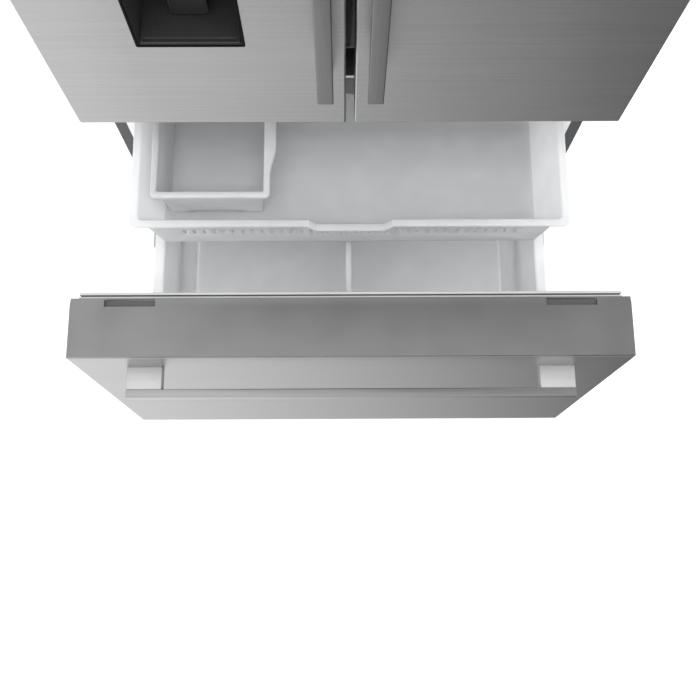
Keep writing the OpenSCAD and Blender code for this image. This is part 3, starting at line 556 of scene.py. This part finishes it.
# %% Ice bucket
bucket_low, bucket_high = box_of("ice_bucket")
bucket_wall, bucket_rim, bucket_lip = 2.5 * MM, 12 * MM, 9 * MM
flare, flare_start, flare_end = 10 * MM, bucket_low.y + 45 * MM, bucket_low.y + 100 * MM
bucket = open_shell("ice_bucket_tub", bucket_low, bucket_high, bucket_wall, bucket_rim, bucket_lip,
                    foot=(9 * MM, 5 * MM, 8 * MM), corner=6 * MM, floor_round=2.5 * MM)
outer_lip = bucket_high.x - bucket_rim + 2 * bucket_wall
cuts = 8
for i in range(cuts + 1):
    pick("faces", lambda f: max(v.co.x for v in f.verts) > outer_lip)
    bpy.ops.mesh.bisect(plane_co=(0, flare_start + (flare_end - flare_start) * i / cuts, 0),
                        plane_no=(0, 1, 0))
clear_pick()
for vert in bucket.data.vertices:
    if vert.co.x > outer_lip:
        along = min(max((vert.co.y - flare_start) / (flare_end - flare_start), 0), 1)
        vert.co.x += flare * along * along * (3 - 2 * along)
bpy.context.view_layer.objects.active = bucket
bpy.ops.object.mode_set(mode="EDIT")
folded(1.2 * MM, 1.5 * MM, bucket_high.z - bucket_lip - 1 * MM)
walled(bucket, bucket_wall)

bucket_centre = (bucket_low.x + bucket_high.x) / 2
wedge_half, wedge_top_half = 44, 38

def finger_wedge(name):
    """The trapezium prism at the foot of the front wall."""
    left, right = bucket_centre - wedge_half * MM, bucket_centre + wedge_half * MM
    wedge = block(name, (left, bucket_low.y - 2 * MM, bucket_low.z - 1 * MM),
                  (right, bucket_low.y + 40 * MM, bucket_low.z + 9 * MM))
    pick("verts", lambda v: v.co.z > bucket_low.z)
    about((bucket_centre, 0, 0), (wedge_top_half / wedge_half, 1, 1))
    return wedge

carved(bucket, finger_wedge("finger_cutter"))
hood = block("finger_hood", (bucket_centre - 50 * MM, bucket_low.y + 15 * MM, bucket_low.z),
             (bucket_centre + 50 * MM, bucket_low.y + 44 * MM, bucket_low.z + 13 * MM))
pick("edges", lambda e: middle(e).z > bucket_low.z + 12 * MM)
rounded(3 * MM, 3)
carved(hood, finger_wedge("hood_cutter"))
bucket = joined("ice_bucket_tub", [bucket, hood])
finished(bucket, "basket", edge=0.7 * MM)
wears(bucket, white_tub)
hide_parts("ice_bucket")
print("ice bucket faces:", len(bucket.data.polygons))

# %% [markdown]
# ## Lower freezer bin and its divider
# The lower bin fills the drawer. Its broad lip folds down at the edge and carries four
# lugs that sit on the slides. A T shaped divider splits it in two. Both are made with
# the same shell, then the lugs and the divider's web are blocks with round edges.

# %% Lower bin and divider
bin_low, bin_high = box_of("lower_bin")
bin_wall, bin_rim, bin_lip, bin_rim_half = 3 * MM, 20 * MM, 5 * MM, 369 * MM
bin_shell_low = Vector((-bin_rim_half, bin_low.y, bin_low.z))
bin_shell_high = Vector((bin_rim_half, bin_high.y, bin_high.z))
bin_tub = open_shell("freezer_bin", bin_shell_low, bin_shell_high, bin_wall, bin_rim, bin_lip,
                     foot=(12 * MM, 6 * MM, 14 * MM), corner=16 * MM, floor_round=8 * MM)
folded(3 * MM, 0.9 * MM, bin_high.z - bin_lip - 1 * MM)
walled(bin_tub, bin_wall)
bin_length, lug_half, lug_inward, slide_height = bin_high.y - bin_low.y, 20 * MM, 24 * MM, 46 * MM
front_lug, lug_spacing = 0.22, 0.56
lug_y = bin_low.y + front_lug * bin_length
lug_low_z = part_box("drawer_slides")[0][2] + slide_height
lug = block("bin_lug", (bin_rim_half - lug_inward, lug_y - lug_half, lug_low_z),
            (bin_high.x, lug_y + lug_half, lug_low_z + 6 * MM))
pick("edges", lambda e: lengthwise(e, 2))
rounded(4 * MM, 4)
clear_pick()
lugs = [lug, copied(lug, "bin_lug_rear", (0, lug_spacing * bin_length, 0))]
lugs += [mirrored(one, one.name + "_left") for one in lugs]
bin_tub = joined("freezer_bin", [bin_tub] + lugs)
finished(bin_tub, "drawer", edge=0.7 * MM)
wears(bin_tub, white_tub)
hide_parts("lower_bin")

divider_low, divider_high = box_of("bin_divider")
web = 3 * MM
centre = (divider_low.x + divider_high.x) / 2
divider = block("freezer_bin_divider", (centre - web / 2, divider_low.y, divider_low.z),
                (centre + web / 2, divider_high.y, divider_high.z - 3 * MM))
pick("faces", lambda f: f.normal.z > 0.9)
bpy.ops.mesh.extrude_region_move()
about((centre, (divider_low.y + divider_high.y) / 2, 0),
      ((divider_high.x - divider_low.x) / web, 1, 1))
press((0, 0, 3 * MM))
finished(divider, "drawer", edge=1.2 * MM, steps=3)
wears(divider, white_tub)
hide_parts("bin_divider")
print("bin faces:", len(bin_tub.data.polygons))

# %% [markdown]
# ## Magnetic gaskets
# A gasket is an extruded vinyl section with a soft bellows and a magnet strip at its
# front. It is welded into a rectangle with mitred corners. One section serves for all
# three; only the rectangle changes. The faces in the groove of the bellows get a darker
# grey vinyl, which is painted shade for the crease.

# %% Gaskets
gasket_section = [(1.2, 0), (0.2, 1.6), (0, 3.4), (0.8, 4.6), (3.0, 5.2), (3.0, 6.8),
                  (0.8, 7.4), (0, 8.4), (0.2, 11.0), (1.2, 11.8), (3.0, 12.0), (8.4, 12.0),
                  (9.0, 11.5), (9.6, 12.0), (15.5, 12.0), (17.2, 11.6), (18.0, 10.4),
                  (17.8, 8.6), (15.4, 6.8), (15.4, 5.4), (17.8, 3.6), (17.4, 0.8), (16.4, 0)]
groove_shade_start, groove_shade_end = 4.6 * MM, 7.4 * MM
for body in ("left_door", "right_door", "drawer"):
    cad_name = body + "_gasket"
    low, high = box_of(cad_name)
    section = [(inward * MM, low.y + back * MM) for inward, back in gasket_section]
    seal = hoop(cad_name.replace("gasket", "bellows_seal"), low, high, section)
    finished(seal, body, edge=0)
    wears(seal, gasket_vinyl)
    # The darker second finish on the groove faces is painted shade for the crease.
    seal.data.materials.append(groove_painted_shade_vinyl)
    for face in seal.data.polygons:
        if low.y + groove_shade_start < face.center.y < low.y + groove_shade_end:
            face.material_index = 1
    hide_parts(cad_name)
    print(seal.name, "faces:", len(seal.data.polygons))

# %% [markdown]
# ## Handles
# Each handle is a flat stainless bar on two posts. The bar's long edges are eased by
# grinding, and its ends are closed by plates that sit a hair inside the tube. The posts
# are cast blocks with a satin finish, which catch more light than the bar.

# %% Handles
def bar(cad_name, body, axis, finish):
    """A flat bar along an axis, with an end plate sunk a little into each end."""
    low, high = box_of(cad_name)
    piece = block(cad_name.replace("handle_bar", "bar"), low, high)
    pick("edges", lambda e: lengthwise(e, axis))
    rounded(1.8 * MM, 4)
    pick("faces", lambda f: abs(f.normal[axis]) > 0.9)
    bpy.ops.mesh.inset(thickness=1.1 * MM, use_individual=True)
    across = [i for i in range(3) if i != axis]
    inside = lambda v: all(min(v.co[i] - low[i], high[i] - v.co[i]) > 0.5 * MM for i in across)
    for sign in (-1, 1):
        pick("faces", lambda f: f.normal[axis] * sign > 0.9 and all(inside(v) for v in f.verts))
        move = [0, 0, 0]
        move[axis] = -sign * 0.5 * MM
        press(move)
    finished(piece, body, edge=0.25 * MM, steps=2)
    wears(piece, finish)
    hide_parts(cad_name)

def posts(cad_name, body, axis, length):
    """Two cast posts, one at each end of the node's box."""
    low, high = box_of(cad_name)
    made = []
    for sign in (0, 1):
        start, end = low.copy(), high.copy()
        if sign:
            start[axis] = high[axis] - length
        else:
            end[axis] = low[axis] + length
        post = block("post", start, end)
        pick("edges", lambda e: lengthwise(e, 1))
        rounded(1.5 * MM, 4)
        pick("faces", lambda f: f.normal.y > 0.9)
        bpy.ops.mesh.inset(thickness=1.5 * MM)
        press((0, 0, 0))
        clear_pick()
        made.append(post)
    piece = joined(cad_name.replace("handle_posts", "bar_posts"), made)
    finished(piece, body, edge=0.5 * MM, steps=2)
    wears(piece, post_steel)
    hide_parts(cad_name)

post_length = 58 * MM
for side in ("left", "right"):
    bar(side + "_handle_bar", side + "_door", 2, shaded_upright_bar_steel)
    posts(side + "_handle_posts", side + "_door", 2, post_length)
bar("drawer_handle_bar", "drawer", 0, lit_level_bar_steel)
posts("drawer_handle_posts", "drawer", 0, post_length)

# %% [markdown]
# ## Drawer top cap
# A painted profile closes the top of the drawer front. Two shallow pockets at its back
# edge take the screws that set the front level. They are cut with bisect planes and
# pressed down, and all edges are eased as paint eases them.

# %% Drawer top cap
cap_low, cap_high = box_of("drawer_top_cap")
pocket_x, pocket_y = (316 * MM, 398 * MM), (cap_high.y - 14 * MM, cap_high.y - 2 * MM)
pocket_depth, seam, gap = 8 * MM, 1.4 * MM, 1 * MM
cap = block("drawer_cap", cap_low + Vector((0, seam, 0)), cap_high)
for x in (-pocket_x[1], -pocket_x[0], pocket_x[0], pocket_x[1]):
    pick("faces", lambda f: f.normal.z > 0.9)
    bpy.ops.mesh.bisect(plane_co=(x, 0, 0), plane_no=(1, 0, 0))
for y in pocket_y:
    pick("faces", lambda f: f.normal.z > 0.9)
    bpy.ops.mesh.bisect(plane_co=(0, y, 0), plane_no=(0, 1, 0))
pick("faces", lambda f: f.normal.z > 0.9 and pocket_x[0] < abs(middle(f).x) < pocket_x[1]
     and pocket_y[0] < middle(f).y < pocket_y[1])
press((0, 0, -pocket_depth))
pick("edges", lambda e: lengthwise(e, 0) and middle(e).y < cap_low.y + seam + 0.1 * MM
     and middle(e).z > cap_high.z - 0.1 * MM)
rounded(1.2 * MM, 3)
finished(cap, "drawer", edge=0.5 * MM, steps=2)
wears(cap, cap_grey)
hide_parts("drawer_top_cap")
pocket_floor = cap_high.z - pocket_depth
plug = block("left_pocket_plug", (-pocket_x[1] + gap, pocket_y[0] + gap, pocket_floor),
             (-pocket_x[0] - gap, pocket_y[1] - gap, pocket_floor + 2 * MM))
pick("faces", lambda f: f.normal.z > 0.9)
bpy.ops.mesh.inset(thickness=1.5 * MM)
press((0, 0, -0.8 * MM))
clear_pick()
for piece in (plug, mirrored(plug, "right_pocket_plug")):
    finished(piece, "drawer", edge=0.2 * MM)
    wears(piece, pocket_grey)
print("cap faces:", len(cap.data.polygons))

# %% [markdown]
# ## Dispenser
# The dispenser is a black gloss plate set into the left door, over a deep moulded recess
# with a drip tray, a hinged paddle and a nozzle. The recess is a block without its front
# face, drafted a little towards the back so that it leaves its mould, and rounded inside.

# %% Dispenser plate and recess
plate_low, plate_high = box_of("dispenser_frame")
recess_low, recess_high = box_of("dispenser_recess")
recess_sheet, bezel, draft = 3 * MM, 4.5 * MM, (0.96, 1, 0.985)
hole_low = Vector((plate_low.x + bezel, plate_low.y, plate_low.z + bezel))
hole_high = Vector((plate_high.x - bezel, recess_high.y - recess_sheet, recess_high.z - recess_sheet))
plate = block("dispenser_plate", plate_low, plate_high)
pick("edges", lambda e: lengthwise(e, 1))
rounded(3 * MM, 5)
cutter = block("recess_cutter", (hole_low.x, plate_low.y - 5 * MM, hole_low.z),
               (hole_high.x, plate_high.y + 5 * MM, hole_high.z))
pick("edges", lambda e: lengthwise(e, 1))
rounded(2.5 * MM, 4)
carved(plate, cutter)
finished(plate, "left_door", edge=0.6 * MM, steps=3)
wears(plate, black_gloss)
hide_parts("dispenser_frame")

recess = block("dispenser_niche", (hole_low.x, recess_low.y, hole_low.z), hole_high)
pick("faces", lambda f: f.normal.y < -0.9)
bpy.ops.mesh.delete(type="FACE")
pick("verts", lambda v: v.co.y > recess_low.y + 1 * MM)
about(((hole_low.x + hole_high.x) / 2, 0, hole_low.z), draft)
pick("edges", lambda e: lengthwise(e, 1))
rounded(4 * MM, 5)
pick("edges", lambda e: all(v.co.y > hole_high.y - 1 * MM for v in e.verts))
rounded(7 * MM, 5)
bpy.ops.mesh.select_all(action="SELECT")
bpy.ops.mesh.flip_normals()
walled(recess, 2 * MM)
paddle_low, paddle_high = box_of("dispenser_paddle")
pivot = Vector((0, (paddle_low.y + paddle_high.y) / 2, paddle_high.z - 3 * MM))
ears = []
for x in (paddle_low.x, paddle_high.x - 5 * MM):
    ear = block("pivot_ear", (x, pivot.y - 6 * MM, pivot.z - 6 * MM),
                (x + 5 * MM, pivot.y + 6 * MM, hole_high.z + 1 * MM))
    pick("edges", lambda e: lengthwise(e, 0) and middle(e).z < pivot.z)
    rounded(5.5 * MM, 6)
    bore_radius, bore_length = 3.06 * MM, 30 * MM
    carved(ear, rod("pivot_bore", (x, pivot.y, pivot.z), bore_radius, bore_length, "X", 32))
    ears.append(ear)
recess = joined("dispenser_niche", [recess] + ears)
finished(recess, "left_door", edge=0.4 * MM)
wears(recess, niche_black)
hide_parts("dispenser_recess")
print("niche faces:", len(recess.data.polygons))

# %% [markdown]
# The drip tray is a smooth plate with a channel near its front, where drops collect. The
# edges of the channel catch the light, which is what shows of it from above. The paddle
# is a thin tongue with a shallow hollow in its face, on a pin. The nozzle is turned: its
# steps come from inset and extrude on the end of a cylinder.

# %% Tray, paddle and nozzle
tray_low, tray_high = box_of("dispenser_tray")
channel_x = (tray_low.x + 5 * MM, tray_high.x - 5 * MM)
channel_y = (tray_low.y + 2.5 * MM, tray_low.y + 8 * MM)
tray = block("drip_tray", tray_low, tray_high)
pick("edges", lambda e: lengthwise(e, 2))
rounded(3 * MM, 4)
for axis, places in ((0, channel_x), (1, channel_y)):
    for place in places:
        pick("faces", lambda f: f.normal.z > 0.9)
        cut, facing = [0, 0, 0], [0, 0, 0]
        cut[axis], facing[axis] = place, 1
        bpy.ops.mesh.bisect(plane_co=cut, plane_no=facing)
pick("faces", lambda f: f.normal.z > 0.9 and channel_x[0] < middle(f).x < channel_x[1]
     and channel_y[0] < middle(f).y < channel_y[1])
press((0, 0, -2 * MM))
finished(tray, "left_door", edge=0.6 * MM, steps=3)
wears(tray, tray_black)
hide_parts("dispenser_tray")

blade_x = (paddle_low.x + 5.5 * MM, paddle_high.x - 5.5 * MM)
paddle = block("dispenser_tongue", (blade_x[0], pivot.y - 1.5 * MM, paddle_low.z),
               (blade_x[1], pivot.y + 1.5 * MM, pivot.z))
pick("edges", lambda e: lengthwise(e, 1) and middle(e).z < paddle_low.z + 1 * MM)
rounded(9 * MM, 8)
pick("faces", lambda f: f.normal.y < -0.9)
bpy.ops.mesh.inset(thickness=3.5 * MM)
press((0, 0.9 * MM, 0))
pin = rod("tongue_pin", ((paddle_low.x + paddle_high.x) / 2, pivot.y, pivot.z), 3 * MM,
          paddle_high.x - paddle_low.x, "X", 32)
pick("faces", lambda f: abs(f.normal.x) > 0.9)
bpy.ops.mesh.inset(thickness=0.5 * MM, use_individual=True)
paddle = joined("dispenser_tongue", [paddle, pin])
finished(paddle, "paddle", edge=0.4 * MM)
wears(paddle, black_matte)
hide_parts("dispenser_paddle")

nozzle_low, nozzle_high = box_of("dispenser_nozzle")
nozzle_x, nozzle_y = (nozzle_low.x + nozzle_high.x) / 2, (nozzle_low.y + nozzle_high.y) / 2
collar, tip_taper = 10 * MM, (0.82, 0.82, 1)
nozzle = rod("water_nozzle", (nozzle_x, nozzle_y, nozzle_high.z - 5 * MM), 15 * MM, collar)
pick("faces", lambda f: f.normal.z < -0.9)
bpy.ops.mesh.inset(thickness=4 * MM)
press((0, 0, -(nozzle_high.z - nozzle_low.z - collar)))
about((nozzle_x, nozzle_y, 0), tip_taper)
bpy.ops.mesh.inset(thickness=2.6 * MM)
press((0, 0, 12 * MM))
finished(nozzle, "left_door", edge=0.8 * MM, steps=3)
wears(nozzle, smoke_grey)
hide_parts("dispenser_nozzle")
print("paddle faces:", len(paddle.data.polygons), "nozzle faces:", len(nozzle.data.polygons))

# %% [markdown]
# ## Cabinet trim, hinge covers and back
# The member between the compartments has an upper plate in black gloss, a pale strip and
# a grey lower plate, which show in the gap between the doors. The black of the upper plate
# is painted shade for the deep shade behind the doors, and a black block under the mullion
# is a foot seal that also darkens the gap there as painted shade. The hinge covers are
# moulded shells with soft edges. The back sheet has broad pressed panels that stiffen it.
# A plain sheet closes the foam from below.

# %% Cabinet trim, hinge covers and back
member_low, member_high = box_of("crossmember")

def member_plate(name, low_z, high_z, proud, finish):
    """A thin plate that stands proud of the front of the cross member."""
    plate = block(name, (member_low.x, member_low.y - proud, low_z),
                  (member_high.x, member_low.y, high_z))
    pick("edges", lambda e: lengthwise(e, 0) and middle(e).y < member_low.y - proud / 2)
    rounded(0.4 * proud, 3)
    finished(plate, "cabinet", edge=0)
    wears(plate, finish)

# The strip's lower and upper edges are given as heights above the floor, in metres.
lip, strip_low, strip_high = 8 * MM, 0.612, 0.618
member_plate("member_lower_plate", member_low.z - lip, strip_low, 1 * MM, dark_flange)
member_plate("member_strip", strip_low, strip_high, 1.6 * MM, gasket_vinyl)
# The upper plate is black as painted shade for the deep shade in the gap behind the doors.
member_plate("member_upper_painted_shade_plate", strip_high, member_high.z + lip, 1 * MM, black_gloss)

mullion_low, mullion_high = box_of("flipper_mullion")
foot_inner, foot_drop, pin_tail = 18 * MM, 11 * MM, 5.5 * MM
foot_top = mullion_low.z + pin_tail
# A black seal block under the mullion. It is also painted shade: it darkens the gap between the
# doors.
mullion_foot = block("mullion_foot_seal_and_painted_shade",
                     (mullion_low.x + foot_inner, mullion_low.y + 1 * MM, foot_top - foot_drop),
                     (mullion_high.x - 1 * MM, mullion_high.y - 1 * MM, foot_top))
pick("edges", lambda e: lengthwise(e, 2))
rounded(3 * MM, 3)
finished(mullion_foot, "flipper", edge=0.6 * MM)
wears(mullion_foot, black_matte)

covers_low, covers_high = box_of("hinge_covers")
cover_width = 52 * MM
cover = block("left_hinge_cover", covers_low,
              (covers_low.x + cover_width, covers_high.y, covers_high.z))
pick("faces", lambda f: f.normal.z < -0.9)
bpy.ops.mesh.delete(type="FACE")
pick("edges", lambda e: lengthwise(e, 2))
rounded(8 * MM, 6)
pick("edges", lambda e: all(v.co.z > covers_high.z - 0.1 * MM for v in e.verts))
rounded(4 * MM, 4)
walled(cover, 2.5 * MM)
clear_pick()
for piece in (cover, mirrored(cover, "right_hinge_cover")):
    finished(piece, "cabinet", edge=0.4 * MM)
    wears(piece, smoke_grey)
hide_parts("hinge_covers")

back_low, back_high = box_of("back_panel")
back = block("pressed_back_sheet", back_low, back_high)
span = back_high.z - back_low.z
panel_joints, pressing = (0.35, 0.68), 0.7
for part in panel_joints:
    pick("faces", lambda f: f.normal.y > 0.9)
    bpy.ops.mesh.bisect(plane_co=(0, 0, back_low.z + span * part), plane_no=(0, 0, 1))
pick("faces", lambda f: f.normal.y > 0.9)
bpy.ops.mesh.inset(thickness=55 * MM, use_individual=True)
bpy.ops.mesh.inset(thickness=1.4 * MM, use_individual=True)
bpy.ops.transform.translate(value=(0, -pressing * (back_high.y - back_low.y), 0))
finished(back, "cabinet", edge=0, angle=10)
wears(back, zinc)
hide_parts("back_panel")

frame_low, frame_high = box_of("base_frame")
sheet_gauge, hidden = 0.8 * MM, 0.1 * MM
base_sheet = block("base_sheet",
                   (frame_low.x + 1 * MM, frame_low.y + 1 * MM, frame_high.z - hidden - sheet_gauge),
                   (frame_high.x - 1 * MM, frame_high.y - 1 * MM, frame_high.z - hidden))
finished(base_sheet, "cabinet", edge=0)
wears(base_sheet, zinc)
print("covers and back made")

# %% [markdown]
# ## Crispers and door bins
# The crispers and the door bins are clear moulded polystyrene. Each is the same kind of
# shell as the freezer tubs, with a plain lip. A crisper has a hollow grip along its
# front. One door bin is modelled and copied to the three levels of each door.

# %% Crispers and door bins
clear_wall, grip_reach, grip_height = 2.5 * MM, 14 * MM, 30 * MM
for side in ("left", "right"):
    low, high = box_of(side + "_crisper")
    crisper = open_shell(side + "_crisper_tub", low + Vector((0, grip_reach, 0)), high,
                         clear_wall, clear_wall, 0,
                         foot=(6 * MM, 6 * MM, 6 * MM), corner=12 * MM, floor_round=8 * MM)
    walled(crisper, clear_wall)
    grip = block("crisper_grip", (low.x + 1 * MM, low.y, high.z - grip_height),
                 (high.x - 1 * MM, low.y + grip_reach + 1 * MM, high.z))
    pick("faces", lambda f: f.normal.z < -0.9)
    bpy.ops.mesh.inset(thickness=3 * MM)
    press((0, 0, grip_height - 4 * MM))
    pick("edges", lambda e: lengthwise(e, 0) and middle(e).y < low.y + 0.1 * MM)
    rounded(2.4 * MM, 4)
    crisper = joined(side + "_crisper_tub", [crisper, grip])
    finished(crisper, "crisper_" + side, edge=0.5 * MM)
    wears(crisper, clear_bin)
    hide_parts(side + "_crisper")

bin_tall, bin_levels = 90 * MM, 3
for side in ("left", "right"):
    low, high = box_of(side + "_door_bins")
    first = open_shell(side + "_door_bin_1", low, Vector((high.x, high.y, low.z + bin_tall)),
                       clear_wall, clear_wall, 0,
                       foot=(3 * MM, 1 * MM, 6 * MM), corner=10 * MM, floor_round=7 * MM)
    walled(first, clear_wall)
    finished(first, side + "_door", edge=0.5 * MM)
    step = (high.z - bin_tall - low.z) / (bin_levels - 1)
    for level in range(bin_levels):
        name = side + "_door_bin_%d" % (level + 1)
        piece = copied(first, name, (0, 0, level * step)) if level else first
        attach(piece, side + "_door")
        wears(piece, clear_bin)
    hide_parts(side + "_door_bins")
print("crispers and door bins made")

# %% [markdown]
# ## Floor and light
# A plain pale floor and soft studio light. Glossy rays see neither the lights, the floor,
# the tubs nor the drawer's inner parts. They see a plain gradient in the world instead,
# brighter on the left and weaker on the right, which gives the steel its slow change
# from light to dark.

# %% Floor and light
clear_pick()
bpy.ops.mesh.primitive_plane_add(size=14, location=(0, 0, -0.0005))
floor = bpy.context.object
floor.name = "floor"
floor_paint, tree, shader, place = new_finish("pale_floor_paint", "#f6f6f6", 0.8)
tint(tree, shader, noise(tree, place, 3.0, 2.0), "#f3f3f3", "#fafafa")
shader.inputs["Emission Color"].default_value = srgb("#ffffff")
shader.inputs["Emission Strength"].default_value = 0.25
floor.data.materials.append(floor_paint)

def soft_light(name, place, aim, width, height, watts):
    """A rectangular lamp that looks at a point."""
    lamp = bpy.data.lights.new(name, "AREA")
    lamp.shape, lamp.size, lamp.size_y, lamp.energy = "RECTANGLE", width, height, watts
    holder = bpy.data.objects.new(name, lamp)
    bpy.context.scene.collection.objects.link(holder)
    holder.location = place
    holder.rotation_euler = (Vector(aim) - Vector(place)).to_track_quat("-Z", "Y").to_euler()
    return holder

lights = [soft_light("overhead", (0, -1.2, 4.6), (0, -0.5, 0.3), 3.6, 2.8, 85),
          soft_light("front", (-0.6, -4.6, 2.2), (0, 0, 0.7), 2.8, 1.8, 110)]
unmirrored = ("drawer_panel freezer_liner drawer_skin drawer_core drawer_slides "
              "middle_slides basket_rails").split()
for piece in [*lights, floor, basket, bucket, bin_tub, divider, cap,
              *(nodes[name] for name in unmirrored)]:
    piece.visible_glossy = False

world = bpy.data.worlds.new("studio")
bpy.context.scene.world = world
world.use_nodes = True
sky = world.node_tree
backdrop = sky.nodes["Background"]
direction = node(sky, "ShaderNodeTexCoord").outputs["Generated"]
axes = node(sky, "ShaderNodeSeparateXYZ", {}, {"Vector": direction}).outputs
level_light, plain_light = 0.6, 1.05

def blend(factor, one, two):
    """Mixes two strengths of the world's light."""
    made = node(sky, "ShaderNodeMix", {"data_type": "FLOAT"}, {"Factor": factor, "A": one, "B": two})
    return made.outputs["Result"]

# Below the horizon the light falls off to the right and behind, above it only to the
# right. Near the horizon and far out to the sides it is even.
sideways = ramp(sky, axes["X"], -0.35, 0.36, 1.33, 0.05)
shaded = ramp(sky, axes["Y"], -0.05, 0.1, 1.0, 0.12)
from_below = maths(sky, "MULTIPLY", a=sideways, b=shaded)
from_above = ramp(sky, axes["X"], -0.35, 0.4, 1.05, 0.33)
looks_down = ramp(sky, axes["Z"], -0.7, -0.3, 1.0, 0.0)
looks_up = ramp(sky, axes["Z"], 0.3, 0.7, 0.0, 1.0)
beside = ramp(sky, maths(sky, "ABSOLUTE", a=axes["X"]), 0.5, 0.8, 0.0, 1.0)
mirrored_light = blend(looks_up, blend(looks_down, level_light, from_below), from_above)
mirrored_light = blend(beside, mirrored_light, level_light)
is_glossy = node(sky, "ShaderNodeLightPath").outputs["Is Glossy Ray"]
level = blend(is_glossy, plain_light, mirrored_light)
sky.links.new(level, backdrop.inputs["Strength"])
backdrop.inputs["Color"].default_value = srgb("#ffffff")
bpy.context.scene.view_settings.view_transform = "Standard"
